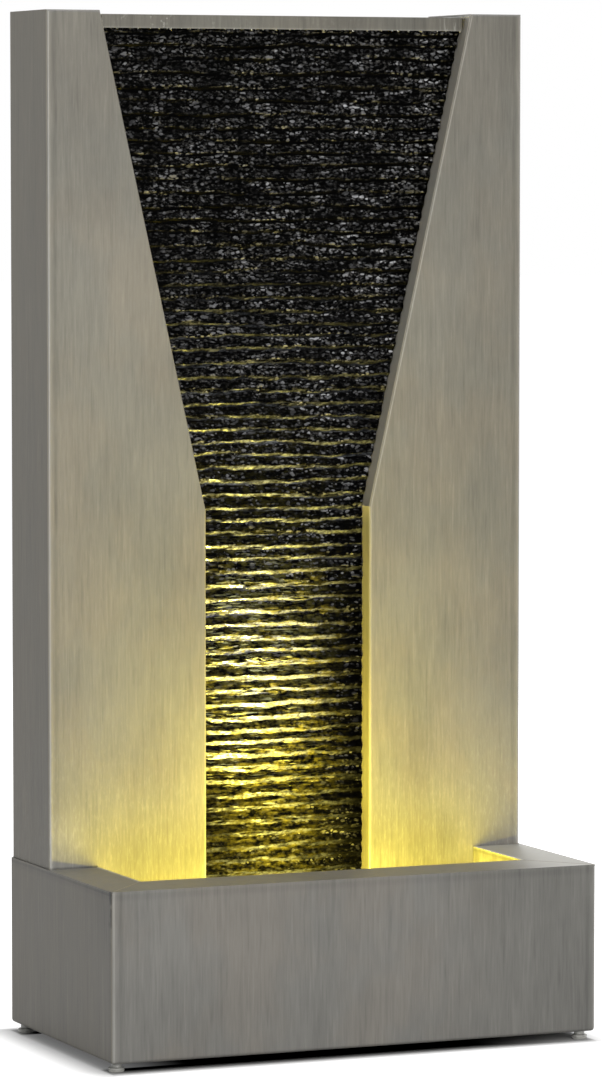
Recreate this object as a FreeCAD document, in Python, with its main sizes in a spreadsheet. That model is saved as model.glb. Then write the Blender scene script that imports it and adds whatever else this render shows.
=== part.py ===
import FreeCAD, Part
import math
import os
import Sketcher
from FreeCAD import Placement, Rotation, Vector

# Garden wall fountain: a shallow folded sheet column with a V-shaped opening stands in the
# back of an open sheet basin. A pump behind the ridged wall lifts water to a header trough,
# and the water runs down the ridges back into the basin, lit by one tilting spotlight.
# Millimetres. X to the right, Y to the back, Z up. Origin on the ground, centred under
# the basin.

SIZES = {
    # Sheet metal that the column and the basin share
    "sheet_gauge": 1.2,
    "seat_gap": 0.3,
    # Basin
    "basin_width": 500.0,
    "basin_depth": 275.0,
    "basin_height": 162.0,
    "basin_fold": 3.5,
    "rim_side": 52.0,
    "rim_front": 59.0,
    "rim_lip": 20.0,
    "rim_gap": 1.5,
    # Glides under the basin
    "foot_height": 9.0,
    "foot_radius": 7.5,
    "foot_neck": 5.0,
    "foot_pad": 4.0,
    "foot_from_side": 10.0,
    "foot_from_end": 15.0,
    # Column
    "column_height": 982.0,
    "column_depth": 102.0,
    "back_gap": 0.8,
    "casing_bend": 2.5,
    "top_inset": 56.0,
    "knee_inset": 164.0,
    "knee_height": 502.0,
    "return_depth": 20.0,
    "seat_width": 12.0,
    "hem_width": 15.0,
    "back_margin": 2.0,
    # Ridged water wall
    "seal_thickness": 1.0,
    "panel_plate": 6.0,
    "panel_drop": 12.0,
    "panel_foot": 25.0,
    "panel_lap": 10.0,
    "ridge_pitch": 11.5,
    "crest_setback": 14.5,
    "groove_setback": 19.0,
    "ridge_side_gap": 0.8,
    # Battens behind the wall
    "batten_depth": 12.0,
    "batten_height": 24.0,
    "middle_batten_height": 520.0,
    "lower_batten_height": 215.0,
    # Header trough and its cover
    "trough_width": 370.0,
    "trough_depth": 50.0,
    "trough_height": 46.0,
    "spill_nose": 3.0,
    "ledge_width": 200.0,
    "ledge_leg": 15.0,
    "ledge_reach": 9.0,
    "cover_drop": 3.5,
    "cover_gap": 1.5,
    "cover_setback": 10.5,
    "cover_lip": 13.0,
    # Back screws, service cover and lead grommet
    "screw_shank": 1.5,
    "screw_head": 3.2,
    "screw_head_height": 1.2,
    "screw_length": 6.0,
    "screw_clearance": 0.1,
    "screw_end_distance": 30.0,
    "service_width": 90.0,
    "service_height": 90.0,
    "service_lap": 12.0,
    "service_sill": 35.0,
    "grommet_across": 150.0,
    "grommet_rise": 34.0,
    "grommet_bore": 4.0,
    "grommet_neck": 6.5,
    "grommet_flange": 9.0,
    "grommet_lip": 1.2,
    # Pump
    "pump_setback": 40.0,
    "pump_length": 60.0,
    "pump_width": 52.0,
    "pump_height": 56.0,
    "pump_corner": 6.0,
    "sucker_height": 8.0,
    "sucker_radius": 7.0,
    "sucker_neck": 3.5,
    "sucker_inset": 10.0,
    "rotor_radius": 8.7,
    "rotor_length": 33.0,
    "rotor_gap": 0.5,
    "shaft_radius": 1.5,
    "shaft_seat": 6.0,
    "running_gap": 0.06,
    "impeller_radius": 14.0,
    "impeller_hub": 5.0,
    "impeller_plate": 2.0,
    "vane_height": 6.0,
    "vane_thickness": 1.6,
    "chamber_radius": 16.0,
    "chamber_depth": 13.0,
    "chamber_wall": 3.0,
    "intake_radius": 7.0,
    "shaft_boss": 3.2,
    "nozzle_offset": 7.0,
    "nozzle_bore": 4.2,
    "nozzle_top": 48.0,
    "strainer_length": 34.0,
    "strainer_wall": 2.0,
    "strainer_slot": 2.4,
    "strainer_pitch": 6.0,
    "notch_half": 7.2,
    "dial_radius": 9.0,
    "dial_thickness": 3.0,
    "dial_pin": 2.0,
    "dial_grip": 3.0,
    # Riser hose and what holds it
    "hose_bore": 6.0,
    "hose_wall": 2.0,
    "spigot_gap": 0.05,
    "hose_start": 30.0,
    "hose_end_gap": 10.0,
    "hose_sway": 8.0,
    "hose_bow": 6.0,
    "clamp_width": 8.0,
    "clamp_thickness": 0.9,
    "clip_width": 10.0,
    "clip_thickness": 1.5,
    "clip_slack": 0.8,
    "inlet_thread": 7.5,
    "inlet_flange": 11.0,
    "inlet_flange_height": 2.5,
    "inlet_tail": 30.0,
    "nut_flats": 24.0,
    "nut_height": 6.0,
    # Spotlight
    "spot_forward": 60.0,
    "spot_height": 117.0,
    "spot_tilt": 30.0,
    "spot_radius": 22.0,
    "spot_rear": 14.0,
    "spot_front": 12.0,
    "spot_wall": 4.0,
    "spot_floor": 6.0,
    "lens_radius": 20.0,
    "lens_thickness": 3.0,
    "bezel_wall": 1.6,
    "bezel_skirt": 6.0,
    "bezel_lip": 2.0,
    "bezel_window": 17.0,
    "board_thickness": 1.6,
    "chip_size": 5.0,
    "chip_height": 1.2,
    "chip_circle": 8.0,
    "boss_radius": 5.0,
    "ear_thickness": 2.5,
    "ear_width": 14.0,
    "pivot_radius": 2.0,
    "pivot_head": 4.0,
    "pivot_head_height": 2.2,
    "stand_width": 64.0,
    "stand_depth": 50.0,
    "stand_plate": 2.5,
    "post_width": 16.0,
    "yoke_drop": 28.0,
}

# Places worked out from the sizes
PLACES = {
    "half_width": "Size.basin_width / 2",
    "basin_front": "-Size.basin_depth / 2",
    "basin_back": "Size.basin_depth / 2",
    "floor_top": "Size.foot_height + Size.sheet_gauge",
    "rim_top": "Size.foot_height + Size.basin_height",
    "rim_under": "rim_top - Size.sheet_gauge",
    "rim_half": "half_width - Size.rim_side",
    "rim_edge": "basin_front + Size.rim_front",
    "column_half": "half_width - Size.sheet_gauge - Size.seat_gap",
    "hem_face": "basin_back - Size.basin_fold - Size.back_gap",
    "column_back": "hem_face + Size.sheet_gauge",
    "column_front": "column_back - Size.column_depth",
    "column_top": "Size.foot_height + Size.column_height",
    "front_inner": "column_front + Size.sheet_gauge",
    "side_inner": "column_half - Size.sheet_gauge",
    "top_inner": "column_top - Size.sheet_gauge",
    "hem_inner": "hem_face - Size.sheet_gauge",
    "casing_foot": "floor_top + Size.basin_fold",
    "knee_z": "Size.foot_height + Size.knee_height",
    "top_half": "half_width - Size.top_inset",
    "knee_half": "half_width - Size.knee_inset",
    "slant": "(top_half - knee_half) / (column_top - knee_z)",
    "slant_wall": "Size.sheet_gauge * sqrt(1 + slant ^ 2)",
    "return_back": "column_front + Size.return_depth",
    "panel_front": "return_back + Size.seal_thickness",
    "panel_back": "panel_front + Size.panel_plate",
    "panel_top": "column_top - Size.panel_drop",
    "panel_bottom": "floor_top + Size.panel_foot",
    "batten_back": "panel_back + Size.batten_depth",
    "cover_top": "column_top - Size.cover_drop",
    "cover_under": "cover_top - Size.sheet_gauge",
    "cover_front": "column_front + Size.cover_setback",
    "trough_half": "Size.trough_width / 2",
    "trough_front": "panel_back + Size.seat_gap",
    "trough_back": "trough_front + Size.trough_depth",
    "spill_z": "panel_top + Size.seat_gap",
    "trough_floor": "panel_top - Size.trough_height",
    "back_half": "column_half - Size.back_margin",
    "back_low": "rim_top + Size.rim_gap",
    "back_high": "column_top - Size.back_margin",
    "screw_x": "column_half - Size.hem_width / 2",
    "service_low": "back_low + Size.service_sill",
    "service_high": "service_low + Size.service_height",
    "service_half": "Size.service_width / 2",
    "grommet_z": "rim_top + Size.grommet_rise",
    "pump_y": "panel_back + Size.pump_setback",
    "pump_x": "-Size.nozzle_offset",
    "pump_z": "floor_top + Size.sucker_height + Size.pump_height / 2",
    "spigot_radius": "Size.hose_bore - Size.spigot_gap",
    "hose_radius": "Size.hose_bore + Size.hose_wall",
    "inlet_y": "trough_front + Size.trough_depth / 2",
    "spot_y": "column_front - Size.spot_forward",
    "spot_z": "Size.spot_height",
    "ear_inner": "Size.spot_radius + Size.bezel_wall + Size.seat_gap",
}

BACK_SCREW_ROWS = 4
RIDGE_UNEVENNESS = 0.22
PLANE_ROLES = {"XY": "XY_Plane", "XZ": "XZ_Plane", "YZ": "YZ_Plane"}
ROD_TURNS = {
    "x": Rotation(Vector(0, 1, 0), 90),
    "y": Rotation(Vector(1, 0, 0), -90),
    "z": Rotation(),
}

doc = FreeCAD.newDocument("GardenWallFountain")
nodes = []


def fill_sheet(name, rows, lead):
    """Write aliased rows into a spreadsheet, numbers as they are and formulas after a sign."""
    sheet = doc.addObject("Spreadsheet::Sheet", name)
    for row, (alias, content) in enumerate(rows.items(), 1):
        sheet.set(f"A{row}", alias)
        sheet.set(f"B{row}", f"{lead}{content}")
        sheet.setAlias(f"B{row}", alias)
    doc.recompute()
    return sheet


size_sheet = fill_sheet("Size", SIZES, "")
place_sheet = fill_sheet("At", PLACES, "=")


def size(name):
    """A driving size, in millimetres."""
    return float(size_sheet.get(name))


def at(name):
    """A worked-out place, in millimetres."""
    return float(place_sheet.get(name))


def new_body(label):
    """A sub-part with its own name, which is also its file's name."""
    body = doc.addObject("PartDesign::Body", label)
    body.Label = label
    nodes.append(body)
    return body


def put(item, corner):
    """Tie an object's place to the sheets."""
    for axis, expression in zip("xyz", corner):
        item.setExpression(f"Placement.Base.{axis}", expression)


def block(body, name, low, high, cut=False):
    """A box between two corners, added to a body or cut from it."""
    kind = "PartDesign::SubtractiveBox" if cut else "PartDesign::AdditiveBox"
    box = body.newObject(kind, name)
    for side, start, end in zip(("Length", "Width", "Height"), low, high):
        box.setExpression(side, f"({end}) - ({start})")
    put(box, low)
    return box


def rod(body, name, axis, radius, start, length, cut=False):
    """A round bar along X, Y or Z, added to a body or cut from it."""
    kind = "PartDesign::SubtractiveCylinder" if cut else "PartDesign::AdditiveCylinder"
    bar = body.newObject(kind, name)
    bar.Placement = Placement(Vector(), ROD_TURNS[axis])
    bar.setExpression("Radius", radius)
    bar.setExpression("Height", length)
    put(bar, start)
    return bar


def cone(body, name, low_radius, high_radius, start, length):
    """An upright cone, added to a body."""
    taper = body.newObject("PartDesign::AdditiveCone", name)
    taper.setExpression("Radius1", low_radius)
    taper.setExpression("Radius2", high_radius)
    taper.setExpression("Height", length)
    put(taper, start)
    return taper


def outline(body, name, plane, offset, points):
    """A closed outline of straight lines whose corners are tied to the sheets."""
    sketch = body.newObject("Sketcher::SketchObject", name)
    planes = [item for item in body.Origin.OriginFeatures if item.Role == PLANE_ROLES[plane]]
    sketch.AttachmentSupport = [(planes[0], "")]
    sketch.MapMode = "FlatFace"
    sketch.setExpression("AttachmentOffset.Base.z", offset)
    corners = []
    for across, along in points:
        corner = Vector(float(sketch.evalExpression(across)), float(sketch.evalExpression(along)), 0)
        corners.append(corner)
    count = len(corners)
    for index, corner in enumerate(corners):
        sketch.addGeometry(Part.LineSegment(corner, corners[(index + 1) % count]), False)
    for index in range(count):
        sketch.addConstraint(Sketcher.Constraint("Coincident", index, 2, (index + 1) % count, 1))
    for index, corner in enumerate(corners):
        for kind, value, expression in zip(("DistanceX", "DistanceY"), corner, points[index]):
            row = sketch.addConstraint(Sketcher.Constraint(kind, -1, 1, index, 1, value))
            sketch.setExpression(f"Constraints[{row}]", expression)
    return sketch


def slab(body, name, plane, points, low, high, cut=False):
    """An outline given its thickness between two levels, added to a body or cut from it."""
    faces_back = plane == "XZ"
    sketch = outline(body, f"{name}Outline", plane, f"-({low})" if faces_back else low, points)
    feature = body.newObject("PartDesign::Pocket" if cut else "PartDesign::Pad", name)
    feature.Profile = sketch
    feature.setExpression("Length", f"({high}) - ({low})")
    feature.Reversed = faces_back != cut
    return feature


def round_edges(body, name, base, radius, wanted):
    """Round the edges of a feature that a test picks."""
    doc.recompute()
    edges = [f"Edge{row}" for row, edge in enumerate(base.Shape.Edges, 1) if wanted(edge)]
    fillet = body.newObject("PartDesign::Fillet", name)
    fillet.Base = (base, edges)
    fillet.setExpression("Radius", radius)
    return fillet


def middle(edge):
    """The point halfway along an edge."""
    return edge.valueAt((edge.FirstParameter + edge.LastParameter) / 2)


def near(value, target):
    """Whether two lengths are the same."""
    return abs(value - target) < 0.001


def part_box(name, low, high):
    """A plain box between two corners, for shells that are joined and cut whole."""
    box = doc.addObject("Part::Box", name)
    for side, start, end in zip(("Length", "Width", "Height"), low, high):
        box.setExpression(side, f"({end}) - ({start})")
    put(box, low)
    return box


def rounded_box(name, low, high, radius):
    """A box with rounded upright and lower edges, as a folded tray has."""
    box = part_box(f"{name}Block", low, high)
    doc.recompute()
    top = box.Shape.BoundBox.ZMax
    rounded = doc.addObject("Part::Fillet", name)
    rounded.Base = box
    rounded.Edges = [
        (row, radius, radius)
        for row, edge in enumerate(box.Shape.Edges, 1)
        if not near(middle(edge).z, top)
    ]
    return rounded


# Basin: one folded and welded tray. Its rim turns inwards on three sides as a flat flange
# and ends in a lip that is folded down. The back of the tray has no flange, because the
# column stands there.
gauge = "Size.sheet_gauge"
tray_low = ("-At.half_width", "At.basin_front", "Size.foot_height")
tray_high = ("At.half_width", "At.basin_back", "At.rim_top")
hollow_low = (f"-At.half_width + {gauge}", f"At.basin_front + {gauge}", "At.floor_top")
hollow_high = (f"At.half_width - {gauge}", f"At.basin_back - {gauge}", "At.rim_top + Size.rim_lip")
tray = doc.addObject("Part::Cut", "Tray")
tray.Base = rounded_box("TrayOutside", tray_low, tray_high, size("basin_fold"))
tray.Tool = rounded_box("TrayInside", hollow_low, hollow_high, size("basin_fold") - size("sheet_gauge"))

flange_back = "At.column_front - Size.rim_gap"
flange = part_box(
    "Flange",
    (f"-At.half_width + {gauge} / 2", f"At.basin_front + {gauge} / 2", "At.rim_under"),
    (f"At.half_width - {gauge} / 2", flange_back, "At.rim_top"),
)
lip_block = part_box(
    "LipBlock",
    ("-At.rim_half - Size.sheet_gauge", "At.rim_edge - Size.sheet_gauge", "At.rim_top - Size.rim_lip"),
    ("At.rim_half + Size.sheet_gauge", flange_back, "At.rim_top"),
)
window = part_box(
    "RimWindow",
    ("-At.rim_half", "At.rim_edge", "At.rim_top - Size.rim_lip * 2"),
    ("At.rim_half", "At.column_back", "At.rim_top + Size.rim_lip"),
)
rim_blocks = doc.addObject("Part::Fuse", "RimBlocks")
rim_blocks.Base = flange
rim_blocks.Tool = lip_block
rim = doc.addObject("Part::Cut", "Rim")
rim.Base = rim_blocks
rim.Tool = window
basin_shell = doc.addObject("Part::Fuse", "basin_shell")
basin_shell.Base = tray
basin_shell.Tool = rim
basin_shell.Refine = True
basin_shell.Label = "basin_shell"
nodes.append(basin_shell)

# Feet: four round glides under the corners of the tray.
for end, y_sign in (("front", -1), ("back", 1)):
    for side, x_sign in (("left", -1), ("right", 1)):
        foot = new_body(f"{end}_{side}_foot")
        foot_x = f"{x_sign} * (At.half_width - Size.foot_from_side)"
        foot_y = f"{y_sign} * (At.basin_back - Size.foot_from_end)"
        rod(foot, "Pad", "z", "Size.foot_radius", (foot_x, foot_y, "0"), "Size.foot_pad")
        cone(foot, "Neck", "Size.foot_radius", "Size.foot_neck", (foot_x, foot_y, "Size.foot_pad"),
             "Size.foot_height - Size.foot_pad")


def opening_edge(sign, outward, top_outward=None):
    """The V opening's edge on one side, moved outwards: bottom, knee and top corners."""
    top_shift = outward if top_outward is None else top_outward
    low = f"{sign} * (At.knee_half + {outward})"
    high = f"{sign} * (At.top_half + {top_shift})"
    return low, high


def back_screw_heights():
    """Heights of the screws that hold the back panel, evenly spaced along the hem."""
    low = "(At.back_low + Size.screw_end_distance)"
    span = "(At.back_high - At.back_low - 2 * Size.screw_end_distance)"
    return [f"{low} + {span} * {row} / {BACK_SCREW_ROWS - 1}" for row in range(BACK_SCREW_ROWS)]


# Side casings: each is one sheet folded round the front, the side and the top, with a
# return that leads back to the water wall, a seat for it and a hem for the back panel.
for side, sign in (("left", -1), ("right", 1)):
    casing = new_body(f"{side}_casing")
    outer = f"{sign} * At.column_half"
    inner = f"{sign} * At.side_inner"
    low, high = opening_edge(sign, "0")
    front_face = [
        (f"{sign} * (At.column_half - Size.basin_fold)", "At.floor_top"),
        (outer, "At.casing_foot"),
        (outer, "At.column_top"),
        (high, "At.column_top"),
        (low, "At.knee_z"),
        (low, "At.floor_top"),
    ]
    shell = slab(casing, "Shell", "XZ", front_face, "At.column_front", "At.hem_face")

    def on_front_fold(edge):
        """Whether an edge bounds the front face, apart from its foot."""
        point = middle(edge)
        return near(point.y, at("column_front")) and point.z > at("casing_foot")

    round_edges(casing, "FrontFolds", shell, "Size.casing_bend", on_front_fold)
    wall_low, wall_high = opening_edge(sign, gauge, "At.slant_wall")
    cavity = [
        (inner, "At.floor_top - 1"),
        (inner, "At.top_inner"),
        (wall_high, "At.top_inner"),
        (wall_low, "At.knee_z"),
        (wall_low, "At.floor_top - 1"),
    ]
    slab(casing, "Cavity", "XZ", cavity, "At.front_inner", "At.column_back", cut=True)
    beyond = f"{sign} * (At.knee_half - {gauge})"
    behind_return = [
        (beyond, "At.floor_top - 1"),
        (wall_low, "At.floor_top - 1"),
        (wall_low, "At.knee_z"),
        (wall_high, "At.top_inner"),
        (beyond, "At.top_inner"),
    ]
    slab(casing, "ReturnEnd", "XZ", behind_return, "At.return_back", "At.column_back", cut=True)
    seat_low, seat_high = opening_edge(sign, "Size.seat_width")
    seat = [
        (low, "At.floor_top"),
        (low, "At.knee_z"),
        (f"{sign} * (At.top_half - At.slant * {gauge})", "At.top_inner"),
        (seat_high, "At.top_inner"),
        (seat_low, "At.knee_z"),
        (seat_low, "At.floor_top"),
    ]
    slab(casing, "Seat", "XZ", seat, f"At.return_back - {gauge}", "At.return_back")
    hem_edge = f"{sign} * (At.column_half - Size.hem_width)"
    hem = [
        (outer, "At.casing_foot"),
        (outer, "At.column_top"),
        (hem_edge, "At.column_top"),
        (hem_edge, "At.casing_foot"),
    ]
    slab(casing, "Hem", "XZ", hem, "At.hem_inner", "At.hem_face")
    for row, height in enumerate(back_screw_heights(), 1):
        rod(casing, f"ScrewHole{row}", "y", "Size.screw_shank + Size.screw_clearance",
            (f"{sign} * At.screw_x", "At.hem_inner - 1", height), f"{gauge} + 2", cut=True)

    # Foam seal between the seat and the water wall
    seal = new_body(f"{side}_panel_seal")
    seal_low, seal_high = opening_edge(sign, "Size.panel_lap")
    lip_low, lip_high = opening_edge(sign, f"{gauge} + Size.ridge_side_gap")
    seal_strip = [
        (lip_low, "At.panel_bottom"),
        (lip_low, "At.knee_z"),
        (f"{lip_high} - {sign} * At.slant * Size.panel_drop", "At.panel_top"),
        (f"{seal_high} - {sign} * At.slant * Size.panel_drop", "At.panel_top"),
        (seal_low, "At.knee_z"),
        (seal_low, "At.panel_bottom"),
    ]
    slab(seal, "Strip", "XZ", seal_strip, "At.return_back", "At.panel_front")

# Back panel: a flat sheet screwed to both hems, with a service opening and the lead's hole.
back_panel = new_body("back_panel")
block(back_panel, "Sheet", ("-At.back_half", "At.hem_face", "At.back_low"),
      ("At.back_half", "At.column_back", "At.back_high"))
block(back_panel, "ServiceOpening", ("-At.service_half", "At.hem_inner", "At.service_low"),
      ("At.service_half", "At.basin_back", "At.service_high"), cut=True)
rod(back_panel, "LeadHole", "y", "Size.grommet_neck + Size.screw_clearance",
    ("Size.grommet_across", "At.hem_inner", "At.grommet_z"), f"{gauge} * 4", cut=True)
for sign in (-1, 1):
    for row, height in enumerate(back_screw_heights(), 1):
        rod(back_panel, "ScrewHole", "y", "Size.screw_shank + Size.screw_clearance",
            (f"{sign} * At.screw_x", "At.hem_inner", height), f"{gauge} * 4", cut=True)

# Service cover over the opening, held by a screw near each corner
service_cover = new_body("service_cover")
cover_half = "(At.service_half + Size.service_lap)"
block(service_cover, "Sheet", (f"-{cover_half}", "At.column_back", "At.service_low - Size.service_lap"),
      (cover_half, f"At.column_back + {gauge}", "At.service_high + Size.service_lap"))
cover_screws = []
for sign in (-1, 1):
    for height in ("At.service_low - Size.service_lap / 2", "At.service_high + Size.service_lap / 2"):
        cover_screws.append((f"{sign} * (At.service_half + Size.service_lap / 2)", height))
for body in (back_panel, service_cover):
    for across, height in cover_screws:
        rod(body, "CoverScrewHole", "y", "Size.screw_shank + Size.screw_clearance",
            (across, "At.hem_inner", height), f"{gauge} * 5", cut=True)


def screw_group(label, seat, spots):
    """Identical pan-head screws that enter from the back, one solid each."""
    group = new_body(label)
    for across, height in spots:
        rod(group, "Head", "y", "Size.screw_head", (across, seat, height), "Size.screw_head_height")
        rod(group, "Shank", "y", "Size.screw_shank",
            (across, f"{seat} - Size.screw_length", height), "Size.screw_length")
    return group


back_spots = [(f"{sign} * At.screw_x", height) for sign in (-1, 1) for height in back_screw_heights()]
screw_group("back_panel_screws", "At.column_back", back_spots)
screw_group("service_cover_screws", f"At.column_back + {gauge}", cover_screws)

# Rubber grommet that the electric lead passes through
grommet = new_body("lead_grommet")
grommet_inner = "At.hem_face - Size.grommet_lip"
grommet_length = f"{gauge} + 2 * Size.grommet_lip"
grommet_spot = ("Size.grommet_across", grommet_inner, "At.grommet_z")
rod(grommet, "InnerLip", "y", "Size.grommet_flange", grommet_spot, "Size.grommet_lip")
rod(grommet, "Neck", "y", "Size.grommet_neck", grommet_spot, grommet_length)
rod(grommet, "OuterLip", "y", "Size.grommet_flange",
    ("Size.grommet_across", "At.column_back", "At.grommet_z"), "Size.grommet_lip")
rod(grommet, "Bore", "y", "Size.grommet_bore", grommet_spot, grommet_length, cut=True)


# Water wall: a moulded panel with uneven level ridges, which fills the opening and laps
# behind the seals.
def wall_outline(outward, depth, low, high):
    """A face of the V outline at one depth, cut off at the panel's foot and top."""
    half_low = at("knee_half") + outward
    half_high = at("top_half") + outward - at("slant") * (at("column_top") - high)
    right = [
        Vector(half_low, depth, low),
        Vector(half_low, depth, at("knee_z")),
        Vector(half_high, depth, high),
    ]
    left = [Vector(-point.x, depth, point.z) for point in reversed(right)]
    return Part.Face(Part.makePolygon(right + left + right[:1]))


def ridge_heights(low, high):
    """Levels of the grooves: as many ridges as fit, each a little taller or lower than the next."""
    count = max(1, round((high - low) / size("ridge_pitch")))
    shares = []
    for row in range(count):
        unevenness = math.sin(1.9 * row) + 0.6 * math.sin(4.3 * row + 1)
        shares.append(1 + RIDGE_UNEVENNESS * unevenness / 1.6)
    levels = [low]
    for share in shares[:-1]:
        levels.append(levels[-1] + (high - low) * share / sum(shares))
    return levels + [high]


def ridge_profile(groove, crest, low, high):
    """Section of the ridges in Y and Z: one rounded ridge after another, unevenly spaced."""
    edges = []
    levels = ridge_heights(low, high)
    for foot, top in zip(levels, levels[1:]):
        peak = Vector(0, crest, foot + 0.4 * (top - foot))
        edges.append(Part.Arc(Vector(0, groove, foot), peak, Vector(0, groove, top)).toShape())
    root = at("panel_front") + size("panel_plate") / 2
    corners = [Vector(0, groove, high), Vector(0, root, high), Vector(0, root, low), Vector(0, groove, low)]
    for start, end in zip(corners, corners[1:]):
        edges.append(Part.LineSegment(start, end).toShape())
    return Part.Face(Part.Wire(edges))


def ridged_panel():
    """The flat back plate joined to the ridged field that fills the opening."""
    low = at("panel_bottom")
    high = at("panel_top")
    plate = wall_outline(size("panel_lap"), at("panel_front"), low, high)
    plate = plate.extrude(Vector(0, size("panel_plate"), 0))
    half_width = at("top_half")
    profile = ridge_profile(at("column_front") + size("groove_setback"),
                            at("column_front") + size("crest_setback"), low, high)
    profile.translate(Vector(-half_width, 0, 0))
    field = profile.extrude(Vector(2 * half_width, 0, 0))
    limit = wall_outline(-size("ridge_side_gap"), at("column_front"), low, high)
    limit = limit.extrude(Vector(0, size("return_depth") + size("panel_plate"), 0))
    return plate.fuse(field.common(limit)).removeSplitter()


water_wall = doc.addObject("Part::Feature", "water_wall")
water_wall.Label = "water_wall"
water_wall.Shape = ridged_panel()
nodes.append(water_wall)

# Support under the water wall: a folded bridge on two legs, with room between them for
# the water to flow back to the pump.
panel_support = new_body("panel_support")
support_half = "(At.knee_half + Size.panel_lap)"
support_front = "At.panel_front"
support_back = "At.batten_back"
block(panel_support, "Bridge", (f"-{support_half}", support_front, f"At.panel_bottom - {gauge}"),
      (support_half, support_back, "At.panel_bottom"))
for name, low, high in (("LeftLeg", f"-{support_half}", f"-{support_half} + Size.seat_width"),
                        ("RightLeg", f"{support_half} - Size.seat_width", support_half)):
    block(panel_support, name, (low, f"{support_back} - {gauge}", "At.floor_top"),
          (high, support_back, "At.panel_bottom"))
    block(panel_support, f"{name}Toe", (low, support_front, "At.floor_top"),
          (high, support_back, f"At.floor_top + {gauge}"))
block(panel_support, "Keeper", (f"-{support_half}", "At.panel_back", f"At.panel_bottom - {gauge}"),
      (support_half, f"At.panel_back + {gauge}", "At.panel_bottom + Size.seat_width"))

# Battens: three channels from side wall to side wall that back the water wall and tie
# the casings together. The upper one also carries the front of the trough.
batten_tops = {
    "upper_batten": "At.trough_floor",
    "middle_batten": "Size.middle_batten_height",
    "lower_batten": "Size.lower_batten_height",
}
for label, top in batten_tops.items():
    batten = new_body(label)
    block(batten, "Channel", ("-At.side_inner", "At.panel_back", f"{top} - Size.batten_height"),
          ("At.side_inner", "At.batten_back", top))
    block(batten, "Hollow",
          ("-At.side_inner", f"At.panel_back + {gauge}", f"{top} - Size.batten_height + {gauge}"),
          ("At.side_inner", "At.batten_back + 1", f"{top} - {gauge}"), cut=True)

# Header trough: a folded box whose front wall is low and ends in a nose that leads the
# water over the top edge of the water wall.
trough = new_body("header_trough")
block(trough, "Box", ("-At.trough_half", "At.trough_front", "At.trough_floor"),
      ("At.trough_half", "At.trough_back", "At.cover_under"))
block(trough, "Hollow",
      (f"-At.trough_half + {gauge}", f"At.trough_front + {gauge}", f"At.trough_floor + {gauge}"),
      (f"At.trough_half - {gauge}", f"At.trough_back - {gauge}", "At.cover_under + 1"), cut=True)
block(trough, "FrontCutDown", ("-At.trough_half - 1", "At.trough_front - 1", "At.spill_z"),
      ("At.trough_half + 1", f"At.trough_front + {gauge}", "At.cover_under + 1"), cut=True)
block(trough, "SpillNose",
      ("-At.trough_half", "At.column_front + Size.crest_setback + Size.spill_nose", "At.spill_z"),
      ("At.trough_half", f"At.trough_front + {gauge}", f"At.spill_z + {gauge}"))
rod(trough, "InletHole", "z", "Size.inlet_thread + Size.screw_clearance",
    ("0", "At.inlet_y", "At.trough_floor - 1"), f"{gauge} + 2", cut=True)

# Ledge on the back panel that carries the rear of the trough
ledge = new_body("trough_ledge")
ledge_half = "Size.ledge_width / 2"
block(ledge, "Shelf", (f"-{ledge_half}", "At.trough_back - Size.ledge_reach", f"At.trough_floor - {gauge}"),
      (ledge_half, "At.hem_face", "At.trough_floor"))
block(ledge, "Leg", (f"-{ledge_half}", "At.hem_inner", "At.trough_floor - Size.ledge_leg"),
      (ledge_half, "At.hem_face", "At.trough_floor"))

# Inlet fitting through the trough's floor, with its nut below
inlet = new_body("trough_inlet")
inlet_floor = f"At.trough_floor + {gauge}"
rod(inlet, "Flange", "z", "Size.inlet_flange", ("0", "At.inlet_y", inlet_floor), "Size.inlet_flange_height")
rod(inlet, "Thread", "z", "Size.inlet_thread", ("0", "At.inlet_y", "At.trough_floor - Size.nut_height"),
    f"Size.nut_height + {gauge}")
rod(inlet, "Tail", "z", "At.spigot_radius", ("0", "At.inlet_y", "At.trough_floor - Size.inlet_tail"),
    "Size.inlet_tail")
rod(inlet, "Bore", "z", "Size.nozzle_bore", ("0", "At.inlet_y", "At.trough_floor - Size.inlet_tail"),
    f"Size.inlet_tail + {gauge} + Size.inlet_flange_height", cut=True)
nut = new_body("inlet_nut")
nut_corner = "Size.nut_flats / 2 / cos(30)"
hexagon = []
for corner in range(6):
    hexagon.append((f"{nut_corner} * cos({60 * corner})",
                    f"At.inlet_y + {nut_corner} * sin({60 * corner})"))
slab(nut, "Hexagon", "XY", hexagon, "At.trough_floor - Size.nut_height", "At.trough_floor")
rod(nut, "Thread", "z", "Size.inlet_thread + Size.spigot_gap",
    ("0", "At.inlet_y", "At.trough_floor - Size.nut_height - 1"), "Size.nut_height + 2", cut=True)

# Top cover: a lift-off folded lid between the casings, over the trough. Its front lip
# hides the nose and hangs just in front of the ridges.
top_cover = new_body("top_cover")
cover_x = "(At.top_half - Size.cover_gap)"
block(top_cover, "Lid", (f"-{cover_x}", "At.cover_front", "At.cover_under"),
      (cover_x, "At.hem_face - Size.cover_gap", "At.cover_top"))
lip_x = f"({cover_x} - At.slant * (Size.cover_lip + Size.cover_drop))"
block(top_cover, "FrontLip", (f"-{lip_x}", "At.cover_front", "At.cover_top - Size.cover_lip"),
      (lip_x, f"At.cover_front + {gauge}", "At.cover_top"))

# Pump: everything is drawn about the shaft, which lies along X, and placed behind the
# water wall. The motor block's front face is at zero.
pump_spot = ("At.pump_x", "At.pump_y", "At.pump_z")


def pump_body(label):
    """A pump piece, placed with the others on the shaft's line."""
    body = new_body(label)
    put(body, pump_spot)
    return body


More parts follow.
